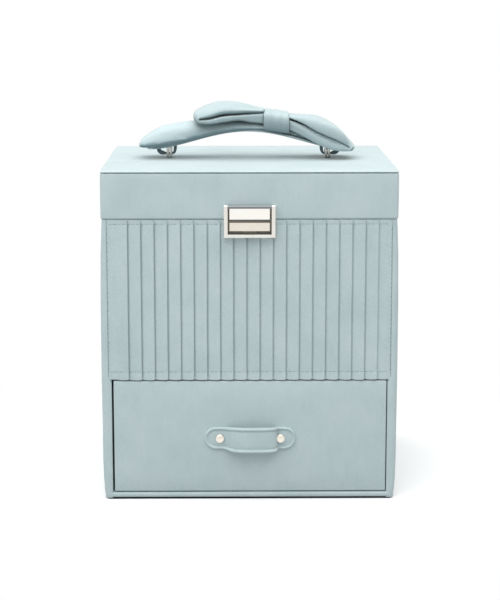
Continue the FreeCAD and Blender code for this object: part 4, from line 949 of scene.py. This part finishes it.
# Pull rivets: tubular rivets with flat turned caps, nickel plated, closed over washers inside the drawer.
# Each holds one flat end of the pull to the front board.
RIVET_SPREAD = 22.75
RIVET_CAP = (
    (0.0, 100.62), (1.7, 100.62), (2.0, 100.55), (2.3, 100.62), (2.9, 100.55), (3.2, 100.3), (3.35, 99.9),
    (3.35, 99.2), (3.1, 98.9), (1.55, 98.8), (1.55, 91.85), (0.0, 91.8),
)


def turned(name, profile, place):
    """A profile of radii and heights spun round an axis, each of its points put in place."""
    piece = sheet(
        name, 48, len(profile) - 1,
        lambda u, v: place(*profile[round(v * (len(profile) - 1))], 2 * math.pi * u),
    )
    outward(piece)
    return piece


rivet_nickel = plated("polished_nickel_rivet", "#efe9df", "#e2dace", 0.16, 0.28)
for side, way in (("left", -1), ("right", 1)):
    rivet = turned(
        f"{side}_pull_rivet", RIVET_CAP,
        lambda radius, out, turn, way=way: (
            PULL_MIDDLE[0] + way * RIVET_SPREAD + radius * math.cos(turn), -out,
            PULL_MIDDLE[1] + radius * math.sin(turn),
        ),
    )
    smooth(rivet, rivet_nickel, 50)
    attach(rivet, "drawer")
    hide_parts("drawer_pull_rivets")
dress(["drawer_pull_washers"], hinge_plate, 0.1)

# Handle posts: two upright loops of flat brass wire side by side, soldered to one stud and nickel plated.
# The stud goes through the lid to a flat nut in the top board, and the strap's tab passes through both loops.
# The posts' nickel is drawn darker than the hinges' and the latch's: painted shade.
post_nickel = plated("post_nickel", "#c6c3be", "#9d9a95", 0.2, 0.3)
WIRE_SHARE = 0.42
WIRES_APART = 2.5
for side in ("left", "right"):
    bpy.ops.object.select_all(action="DESELECT")
    for way in (-1, 1):
        wire = bpy.data.objects.new(f"{side}_post_wire", nodes[f"{side}_handle_post"].data.copy())
        bpy.context.collection.objects.link(wire)
        places = [point.co.x for point in wire.data.vertices]
        middle = (min(places) + max(places)) / 2
        for point in wire.data.vertices:
            point.co.x = middle + (point.co.x - middle) * WIRE_SHARE + way * WIRES_APART / 2 * MM
        wire.select_set(True)
    bpy.context.view_layer.objects.active = wire
    bpy.ops.object.join()
    post = bpy.context.object
    post.name = post.data.name = f"{side}_post_loops"
    outward(post)
    work(post, "BEVEL", width=0.35 * MM, segments=3, limit_method="ANGLE", angle_limit=math.radians(35))
    smooth(post, post_nickel, 50)
    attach(post, "lid")
    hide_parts(f"{side}_handle_post")
dress(["handle_post_nuts"], hinge_plate, 0.15)

# Handle strap: a velvet tube stuffed with soft wadding, arched from post to post, on a thin flat backing.
# It is fullest by its left end, where it rolls down over the backing, and pressed thin under the bow.
STRAP_STATIONS = (
    (-86.0, 11.5, 1.6, 0.0), (-85.3, 13.8, 3.2, 0.4), (-83.6, 15.6, 4.6, 1.2), (-77.0, 17.4, 6.2, 4.2),
    (-70.0, 18.2, 6.6, 7.0), (-62.0, 18.4, 6.6, 8.0), (-46.0, 18.0, 5.8, 7.4), (-29.0, 17.6, 4.6, 4.8),
    (-10.0, 17.0, 4.0, 2.0), (12.0, 16.6, 3.6, 1.0), (33.0, 16.8, 3.2, 1.4), (52.0, 17.4, 3.1, 1.6),
    (66.0, 17.4, 2.3, 0.8), (75.0, 15.2, 1.5, 0.4), (78.5, 12.6, 1.1, 0.1), (79.5, 10.0, 0.8, 0.0),
)
STRAP_LEFT = STRAP_STATIONS[0][0]
STRAP_RIGHT = STRAP_STATIONS[-1][0]
ARCH_REACH = 84.0
ARCH_SEAT = 64.2
ARCH_RISE = 14.6
SEAT_RISE = 9.3
CROWN_BACK = 2.0
BACKING = 1.5
STRAP_GAP = 0.25
ROLL_DOWN = (
    (-86.0, 2.4), (-78.0, 3.4), (-66.0, 3.6), (-46.0, 3.8), (-34.0, 3.8), (-20.0, 3.2), (-8.0, 2.2),
    (8.0, 0.9), (20.0, 0.3), (79.5, 0.2),
)


def tube(name, along, around, place):
    """A grid rolled into a tube, its long edges merged and its ends closed."""
    piece = sheet(name, along, around, place)
    outward(piece)
    bpy.ops.object.mode_set(mode="EDIT")
    bpy.ops.mesh.select_all(action="SELECT")
    bpy.ops.mesh.fill_holes(sides=0)
    bpy.ops.object.mode_set(mode="OBJECT")
    outward(piece)
    return piece


def strap_under(x):
    """The level of the strap's underside, an arch seated on the posts' heads."""
    arch = [(1 + math.cos(math.pi * place / ARCH_REACH)) / 2 for place in (x, ARCH_SEAT)]
    return LID_TOP + SEAT_RISE + ARCH_RISE * (arch[0] - arch[1])


def flowing(table, x):
    """A reading of a table of pairs along one smooth line through all of them."""
    at = max(0, min(len(table) - 2, sum(x >= place for place, _ in table) - 1))
    (x0, y0), (x1, y1) = table[at], table[at + 1]
    steep = []
    for here in (at, at + 1):
        low, high = table[max(0, here - 1)], table[min(len(table) - 1, here + 1)]
        steep.append((high[1] - low[1]) / (high[0] - low[0]) * (x1 - x0))
    t = min(1, max(0, (x - x0) / (x1 - x0)))
    return (y0 * (1 + 2 * t) * (1 - t) ** 2 + steep[0] * t * (1 - t) ** 2
            + y1 * t * t * (3 - 2 * t) + steep[1] * t * t * (t - 1))


def station(x, column):
    """A smooth reading of one column of the strap's stations."""
    return flowing([(row[0], row[column]) for row in STRAP_STATIONS], x)


def strap_top(x, y):
    """The level of the strap's upper face, its crown set a little to the back."""
    half, edge, crown = (station(x, column) for column in (1, 2, 3))
    share = min(1, abs(y - CROWN_BACK) / (half - CROWN_BACK if y > CROWN_BACK else half + CROWN_BACK))
    return strap_under(x) + BACKING + STRAP_GAP + edge + crown * (1 - share ** 2.2)


def strap_point(u, v):
    """A place along the arch and round the tube, with more rows towards its two ends."""
    x = STRAP_LEFT + (STRAP_RIGHT - STRAP_LEFT) * (u - math.sin(2 * math.pi * u) / (2 * math.pi) * 0.55)
    half, edge = station(x, 1), station(x, 2)
    turn = 2 * math.pi * v
    y = half * math.copysign(abs(math.cos(turn)) ** 0.72, math.cos(turn))
    base = strap_under(x) + BACKING + STRAP_GAP
    roll = between(ROLL_DOWN, x)
    middle = base + (edge - roll) / 2
    face = strap_top(x, y) if math.sin(turn) >= 0 else base - roll * (y / half) ** 4
    return (x, y, middle + (face - middle) * abs(math.sin(turn)) ** 0.9)


# The strap's dark tone is painted shade on its rolled edges that face down.
strap_velvet = velvet("padded_strap_velvet", "#a9bcbf", "#c1d0d2", 0.5, "#546b72")
strap = tube("handle_padded_strap", 110, 48, strap_point)
STUFF_FRAMES = 20
PAINTED_SHADE_FROM = 9.0
PAINTED_SHADE_WIDE = 4.0


def stuff(piece, voxel, pressure, most):
    """Blows a closed tube of cloth out from inside, as its wadding does, by no more than its seams allow."""
    work(piece, "REMESH", mode="VOXEL", voxel_size=voxel * MM)
    before = [point.co.copy() for point in piece.data.vertices]
    cloth = piece.modifiers.new("stuffing", "CLOTH")
    cloth.settings.quality = 5
    cloth.settings.mass = 0.15
    cloth.settings.use_pressure = True
    cloth.settings.uniform_pressure_force = pressure
    cloth.settings.effector_weights.gravity = 0
    cloth.point_cache.frame_end = STUFF_FRAMES
    for moment in range(1, STUFF_FRAMES + 1):
        bpy.context.scene.frame_set(moment)
    bpy.context.view_layer.objects.active = piece
    bpy.ops.object.modifier_apply(modifier=cloth.name)
    for point, start in zip(piece.data.vertices, before):
        move = point.co - start
        if move.length > most * MM:
            point.co = start + move.normalized() * most * MM
    bpy.context.scene.frame_set(1)
    work(piece, "SUBSURF", levels=1, render_levels=1)


def strap_painted_shade(point):
    """Painted shade: most on the rolled edges that face down, and none on the flat top."""
    edge = min(1, max(0, (abs(point.co.y) / MM - PAINTED_SHADE_FROM) / PAINTED_SHADE_WIDE))
    return 0.85 * min(1, (0.95 - point.normal.z) / 0.85) * edge


stuff(strap, voxel=1.8, pressure=4.0, most=0.6)
lay_painted_shade(strap, strap_painted_shade)
smooth(strap, strap_velvet, 60)
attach(strap, "handle")
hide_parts("handle_pad")
BACKING_LEFT = -79.0
BACKING_LONG = 157.4
BACKING_STRAIGHT = 68.0


def backing_point(u, v):
    x = BACKING_LEFT + BACKING_LONG * u
    rounded = max(0, (abs(x) - BACKING_STRAIGHT) / (-BACKING_LEFT - BACKING_STRAIGHT)) ** 2
    half = (station(x, 1) - 0.4 - 1.2 * between(ROLL_DOWN, x)) * (1 - 0.5 * rounded)
    return (x, half * (2 * v - 1), strap_under(x) + BACKING)


backing = sheet("handle_backing_strip", 80, 10, backing_point)
work(backing, "SOLIDIFY", thickness=BACKING * MM, offset=-1)
outward(backing)
work(backing, "BEVEL", width=0.5 * MM, segments=3, limit_method="ANGLE", angle_limit=math.radians(50))
# Painted shade on the backing's two long edges.
lay_painted_shade(backing, lambda point: 0.5 * (abs(point.co.y) > 11 * MM))
smooth(backing, strap_velvet)
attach(backing, "handle")
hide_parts("handle_backing")

# Handle tabs: narrow loops of strap velvet sewn under the strap and threaded through the posts.
# Each hangs a little below its post's bar, so the strap can be pulled up when it is held.
# The tabs' velvet is drawn darker than the strap's: painted shade, as they hang in the strap's shadow.
tab_velvet = velvet("tab_velvet_painted_shade", "#56646a", "#6f7e83", 0.3)
TAB_HALF = 3.0
TAB_THICK = 2.8
TAB_THIN = 1.5
POST = 62.0
TAB_ENDS = (-4.7, 8.2)
TAB_SEWN = 0.3
TAB_PATH = (
    (-4.6, 8.0), (-4.4, 6.2), (-3.7, 4.6), (-2.2, 3.8), (1.0, 3.75), (4.4, 4.0), (7.0, 4.8), (8.4, 6.6),
)
TAB_PINCHED = 3.2
TAB_FILLS = 2.0
TAB_ROWS = (-1.0, -0.86, -0.4, 0.4, 0.86, 1.0)
TAB_STEPS = 36
tab_start, tab_end = ((POST + x, strap_under(POST + x) + TAB_SEWN) for x in TAB_ENDS)
tab_hang = [(POST + x, LID_TOP + rise) for x, rise in TAB_PATH]
tab_line = smooth_line([tab_start, *tab_hang, tab_end], TAB_STEPS)
for side, way in (("left", -1), ("right", 1)):
    def tab_point(u, v, way=way):
        x, z = tab_line[round(u * TAB_STEPS)]
        return (way * x, TAB_ROWS[round(v * (len(TAB_ROWS) - 1))] * TAB_HALF, z)

    tab = sheet(f"{side}_strap_tab", TAB_STEPS, len(TAB_ROWS) - 1, tab_point)
    padded_part = tab.vertex_groups.new(name="padded_part")
    for point in tab.data.vertices:
        aside = abs(abs(point.co.x) / MM - POST)
        padded_part.add([point.index], min(1, max(0, (aside - TAB_PINCHED) / TAB_FILLS)), "REPLACE")
    work(
        tab, "SOLIDIFY", thickness=TAB_THICK * MM, offset=0, vertex_group="padded_part",
        thickness_vertex_group=TAB_THIN / TAB_THICK,
    )
    outward(tab)
    work(tab, "SUBSURF", levels=1, render_levels=1)
    smooth(tab, tab_velvet, 60)
    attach(tab, "handle")
    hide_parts(f"{side}_handle_tab")

# Bow loops: a wide padded ribbon of velvet, folded back to the middle and gathered under the knot.
# Each loop lies over the strap with its edges drooping past it; the two layers meet in a dark slit.
LOOP_SLIT = 0.15
LOOP_STEPS = 34
LOOP_FOLD = 12
LOOP_REST = 0.4
LOOP_BACK = 3.0
STRAP_SIDE = 17.0
EDGE_HANGS = 0.72
STRAP_FADE = (71.0, 9.0)
ROLLED_EDGE = 0.9
VALLEY = 1.7
GATHER = 0.7
SOFTNESS = 0.4
SLIT_SHADE_WIDE = 5.0
# Each loop's "crease" sets how much more painted shade lies just above its slit.
LOOPS = {
    "left": {
        "root": 13.0, "tip": -43.1, "lip": 0.1, "tuck": 0.045, "pinch": 0.3, "crease": 0.15,
        "half": ((0.0, 16.0), (0.25, 17.6), (0.55, 20.2), (0.85, 21.3), (1.0, 20.8)),
        "slit": ((0.0, 285.0), (0.22, 284.7), (0.41, 284.0), (0.63, 283.3), (0.85, 280.8), (1.0, 280.3)),
        "upper": ((0.0, 2.6), (0.15, 4.0), (0.4, 5.6), (0.62, 6.2), (0.85, 5.4), (1.0, 3.2)),
        "lower": ((0.0, 11.6), (0.2, 8.8), (0.4, 5.2), (0.58, 6.2), (0.74, 5.8), (0.9, 4.4), (1.0, 3.2)),
        "gap": ((0.0, 0.15), (1.0, 0.15)),
        "crown": ((0.0, -0.9), (0.22, 1.1), (0.41, 3.1), (0.63, 4.1), (0.85, 4.5), (1.0, 3.6)),
    },
    "right": {
        "root": 30.5, "tip": 83.2, "lip": 0.85, "tuck": 0.2, "pinch": 0.85, "crease": 0.6,
        "half": ((0.0, 16.4), (0.25, 18.0), (0.55, 20.8), (0.85, 21.2), (1.0, 19.0)),
        "slit": (
            (0.0, 280.0), (0.22, 274.6), (0.45, 267.7), (0.64, 263.4), (0.81, 260.7), (0.93, 259.0), (1.0, 258.1),
        ),
        "upper": ((0.0, 2.8), (0.22, 4.8), (0.45, 6.0), (0.64, 6.0), (0.84, 4.6), (1.0, 3.3)),
        "lower": ((0.0, 10.4), (0.22, 9.6), (0.45, 7.6), (0.64, 6.6), (0.82, 5.4), (0.93, 4.1), (1.0, 3.3)),
        "gap": ((0.0, 0.3), (0.2, 1.2), (0.45, 2.3), (0.75, 2.8), (0.93, 1.4), (1.0, 0.15)),
        "crown": ((0.0, 0.3), (0.22, 3.2), (0.45, 7.6), (0.66, 8.0), (0.82, 6.4), (0.93, 3.6), (1.0, 1.8)),
    },
}
# The ribbon's dark tone is painted shade where it faces down and along the slit.
ribbon_velvet = velvet("folded_ribbon_velvet", "#a3b6b9", "#bac9cb", 0.5, "#4f666d")
for side, form in LOOPS.items():
    toward = 1 if form["tip"] > form["root"] else -1
    fold_thick = form["upper"][-1][1]
    fold_at = form["tip"] - toward * (fold_thick + LOOP_SLIT / 2)

    def loop_point(u, v, form=form, toward=toward, fold_thick=fold_thick, fold_at=fold_at):
        """The lower layer runs out over the strap, folds at the tip, and comes back above the slit."""
        step = round(u * (2 * LOOP_STEPS + LOOP_FOLD))
        bend = min(1, max(0, (step - LOOP_STEPS) / LOOP_FOLD))
        reach = min(step, 2 * LOOP_STEPS + LOOP_FOLD - step) / LOOP_STEPS
        out = min(1, 1 - (1 - min(1, reach)) ** 1.25)
        half, slit, upper, lower, crown, gap = (
            flowing(form[name], out) for name in ("half", "slit", "upper", "lower", "crown", "gap"))
        around = 2 * math.pi * v
        over = (1 + math.sin(math.pi * (bend - 0.5))) / 2
        round_off = 0.6 + 0.4 * over if math.sin(around) > 0 else form["lip"] * over
        side_share = math.copysign(abs(math.cos(around)) ** (0.26 + 0.44 * round_off), math.cos(around))
        outside = math.copysign(abs(math.sin(around)) ** (0.3 + 0.62 * round_off), math.sin(around))
        y = half * side_share * (1.03 - 0.03 * over)
        x = form["root"] + (fold_at - form["root"]) * out * (
            1 - (form["tuck"] if side_share > 0 else 0.045) * out * abs(side_share) ** 4)
        back = (y - LOOP_BACK) / (half - LOOP_BACK if y > LOOP_BACK else half + LOOP_BACK)
        thin = min(lower, 4.0 - 1.6 * math.sin(math.pi * out ** 3))
        body = thin + (lower - thin) * abs(side_share) ** 2
        seated = strap_top(x, max(-STRAP_SIDE, min(STRAP_SIDE, y))) + LOOP_REST + body - (slit - gap / 2)
        past_strap = min(1, max(0, (x - STRAP_FADE[0]) / STRAP_FADE[1]))
        hanging = max(0, (abs(side_share) - EDGE_HANGS) / (1 - EDGE_HANGS))
        drape = max(0, seated) * (1 - hanging ** 2) * (1 - past_strap ** 2)
        lift = max(drape, crown * (1 - abs(back) ** 3))
        near_knot = math.exp(-((out - 0.36) / 0.24) ** 2)
        rolled = near_knot if toward < 0 else 1 - out ** 3
        roll = ROLLED_EDGE * math.exp(-((side_share + 0.62) / 0.16) ** 2) * rolled
        valley = VALLEY * math.exp(-((side_share + 0.2) / 0.22) ** 2) * near_knot
        gather = GATHER * (1 - out) ** 3 * math.sin(11 * side_share + 0.7)
        soft = SOFTNESS * noise.noise(Vector((x / 15, y / 15, 4.0 if bend < 0.5 else 9.0)))
        upper_lift = lift + roll - valley + gather + soft
        if 0 < bend < 1:
            turn = math.pi * (bend - 0.5)
            radius = LOOP_SLIT / 2 + fold_thick / 2 * (1 + outside)
            pinch = form["pinch"] * radius * math.cos(turn) * max(0, math.sin(turn))
            return (x + toward * radius * math.cos(turn), y,
                    slit + radius * math.sin(turn) - pinch + drape + (upper_lift - drape) * over)
        if bend == 0:
            return (x, y, slit - gap / 2 - body / 2 * (1 + outside) + drape + 0.4 * soft)
        return (x, y, slit + gap / 2 + upper / 2 * (1 + outside) + upper_lift)

    def loop_painted_shade(point, form=form):
        """Painted shade: most where the ribbon faces down and, above the slit, close to it."""
        out = min(1, max(0, (point.co.x / MM - form["root"]) / (form["tip"] - form["root"])))
        above = point.co.z / MM - flowing(form["slit"], out)
        most = 0.9 + form["crease"] * max(0, 1 - above / SLIT_SHADE_WIDE) * (1 - out ** 4) if above > 0 else 0.6
        return most * min(1, (0.85 - point.normal.z) / 1.25)

    loop = tube(f"bow_{side}_ribbon", 2 * LOOP_STEPS + LOOP_FOLD, 44, loop_point)
    work(loop, "SUBSURF", levels=1, render_levels=1)
    lay_painted_shade(loop, loop_painted_shade)
    smooth(loop, ribbon_velvet, 70)
    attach(loop, "handle")
    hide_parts(f"bow_{side}_loop")

# Bow knot: a narrow band of the same ribbon, wound round the gathered middle and the strap's front.
# It is pulled tight, so it creases lengthways and its edges roll in.
KNOT_LEFT = 11.4
KNOT_RIGHT = 31.8
KNOT_MIDDLE = 277.0
KNOT_THICK = 1.5
KNOT_CREASE = 0.3
KNOT_ROLL = 1.1
KNOT_SAG = 0.14
KNOT_SIDE = (
    (18.4, 272.2), (19.3, 274.2), (19.8, 277.5), (19.6, 281.0), (18.0, 284.6), (14.0, 287.0), (7.0, 288.0),
)
KNOT_PLAN = (*[(-y, z) for y, z in KNOT_SIDE], (0.0, 288.2), *reversed(KNOT_SIDE))
KNOT_STEPS = 56
knot_line = smooth_line(KNOT_PLAN, KNOT_STEPS)


def knot_point(u, v):
    """A place across the band and along its way over the bow, creased in the middle and rolled at its edges."""
    here = knot_line[round(v * KNOT_STEPS)]
    x = KNOT_LEFT + (KNOT_RIGHT - KNOT_LEFT) * u
    share = 2 * u - 1
    crease = KNOT_CREASE * math.sin(8.0 * share + 1.2 * math.sin(here.x / 6)) * (1 - share ** 2)
    roll = KNOT_ROLL * abs(share) ** 10
    sag = KNOT_SAG * (x - KNOT_LEFT)
    inward = Vector((-here.x, KNOT_MIDDLE - here.y)).normalized() * (roll - crease)
    return (x, here.x + inward.x, here.y + inward.y - sag)


knot = sheet("bow_knot_band", 24, KNOT_STEPS, knot_point)
work(knot, "SOLIDIFY", thickness=KNOT_THICK * MM, offset=-1)
outward(knot)
work(knot, "SUBSURF", levels=1, render_levels=1)
# Painted shade where the band faces down.
lay_painted_shade(knot, lambda point: 0.75 * min(1, (0.85 - point.normal.z) / 1.25))
smooth(knot, ribbon_velvet, 70)
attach(knot, "handle")
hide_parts("bow_knot")

# Studio: a plain white paper floor that fades into a white room, a large soft light overhead
# and a weak one in front. Near the box the floor is lit like any paper, so it keeps the shadow.
FLOOR = 6.0
FADE_FROM = 0.1
FADE_TO = 0.34
bpy.ops.object.select_all(action="DESELECT")
bpy.ops.mesh.primitive_plane_add(size=FLOOR, location=(0, 0.6, 0))
floor = bpy.context.object
floor.name = floor.data.name = "studio_floor"
bpy.ops.object.transform_apply(location=True, rotation=True, scale=True)
sweep, sweep_shader = surface("matt_white_paper_sweep", Roughness=0.9, Specular_IOR_Level=0.0)


def direct(tree):
    """Where a ray comes straight from the lens, or by way of metal or glass."""
    path = node(tree, "LightPath", {})
    straight = node(
        tree, "Math", {0: path.outputs["Is Camera Ray"], 1: path.outputs["Is Glossy Ray"]}, operation="MAXIMUM",
    )
    return node(tree, "Math", {0: straight.outputs[0], 1: path.outputs["Is Transmission Ray"]}, operation="MAXIMUM")


floor_at = node(sweep, "Mapping", {"Vector": node(sweep, "TexCoord", {}).outputs["Object"], "Scale": (0.9, 1.0, 1.0)})
from_box = node(sweep, "VectorMath", {0: floor_at.outputs["Vector"]}, operation="LENGTH")
fade = node(
    sweep, "MapRange", {"Value": from_box.outputs["Value"], "From Min": FADE_FROM, "From Max": FADE_TO},
    interpolation_type="SMOOTHSTEP",
)
faded = node(sweep, "Math", {0: fade.outputs["Result"], 1: direct(sweep).outputs[0]}, operation="MULTIPLY")
paper_white = node(
    sweep, "Mix", {0: direct(sweep).outputs[0], 6: linear("#b4b4b4"), 7: linear("#f8f8f8")}, data_type="RGBA",
)
join(sweep, paper_white.outputs[2], sweep_shader, "Base Color")
glow = node(sweep, "Emission", {"Color": linear("#ffffff"), "Strength": 1.0})
blend = node(sweep, "MixShader", {0: faded.outputs[0], 1: sweep_shader.outputs[0], 2: glow.outputs[0]})
sweep.node_tree.links.new(blend.outputs[0], sweep.node_tree.nodes["Material Output"].inputs["Surface"])
floor.data.materials.append(sweep)
floor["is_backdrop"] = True

room = bpy.data.worlds.new("white_room")
bpy.context.scene.world = room
room.use_nodes = True
lit = room.node_tree.nodes["Background"]
level = node(room, "MapRange", {"Value": direct(room).outputs[0], "To Min": 0.6, "To Max": 1.0})
lit.inputs["Color"].default_value = linear("#ffffff")
room.node_tree.links.new(level.outputs["Result"], lit.inputs["Strength"])

for name, place, aim, size, power in (
    ("overhead_softbox", (-0.15, -0.35, 1.9), (0, 0, 0.2), (3.2, 3.2), 63),
    ("front_fill", (-0.9, -2.0, 0.9), (0, 0, 0.14), (1.4, 1.2), 4.5),
):
    lamp = bpy.data.lights.new(name, "AREA")
    lamp.shape = "RECTANGLE"
    lamp.size, lamp.size_y = size
    lamp.energy = power
    held = bpy.data.objects.new(name, lamp)
    bpy.context.scene.collection.objects.link(held)
    held.location = place
    held.rotation_mode = "QUATERNION"
    held.rotation_quaternion = (Vector(aim) - Vector(place)).to_track_quat("-Z", "Y")

# Camera: a long lens a little above the lid, almost square to the front.
# It stands far enough off for the sides of the box to close up.
CAMERA_AT = (-13.16, -1373.7, 391.5)
CAMERA_DOWN = 10.57
CAMERA_TURN = -0.604
CAMERA_LENS = 104.9
lens = bpy.data.cameras.new("front_view")
lens.lens = CAMERA_LENS
lens.sensor_width = 36
lens.clip_start = 0.05
lens.clip_end = 20
camera = bpy.data.objects.new("front_view", lens)
bpy.context.scene.collection.objects.link(camera)
camera.location = Vector(CAMERA_AT) * MM
camera.rotation_euler = (math.radians(90 - CAMERA_DOWN), 0, math.radians(CAMERA_TURN))
bpy.context.scene.camera = camera
bpy.context.scene.view_settings.view_transform = "Standard"

low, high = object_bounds()
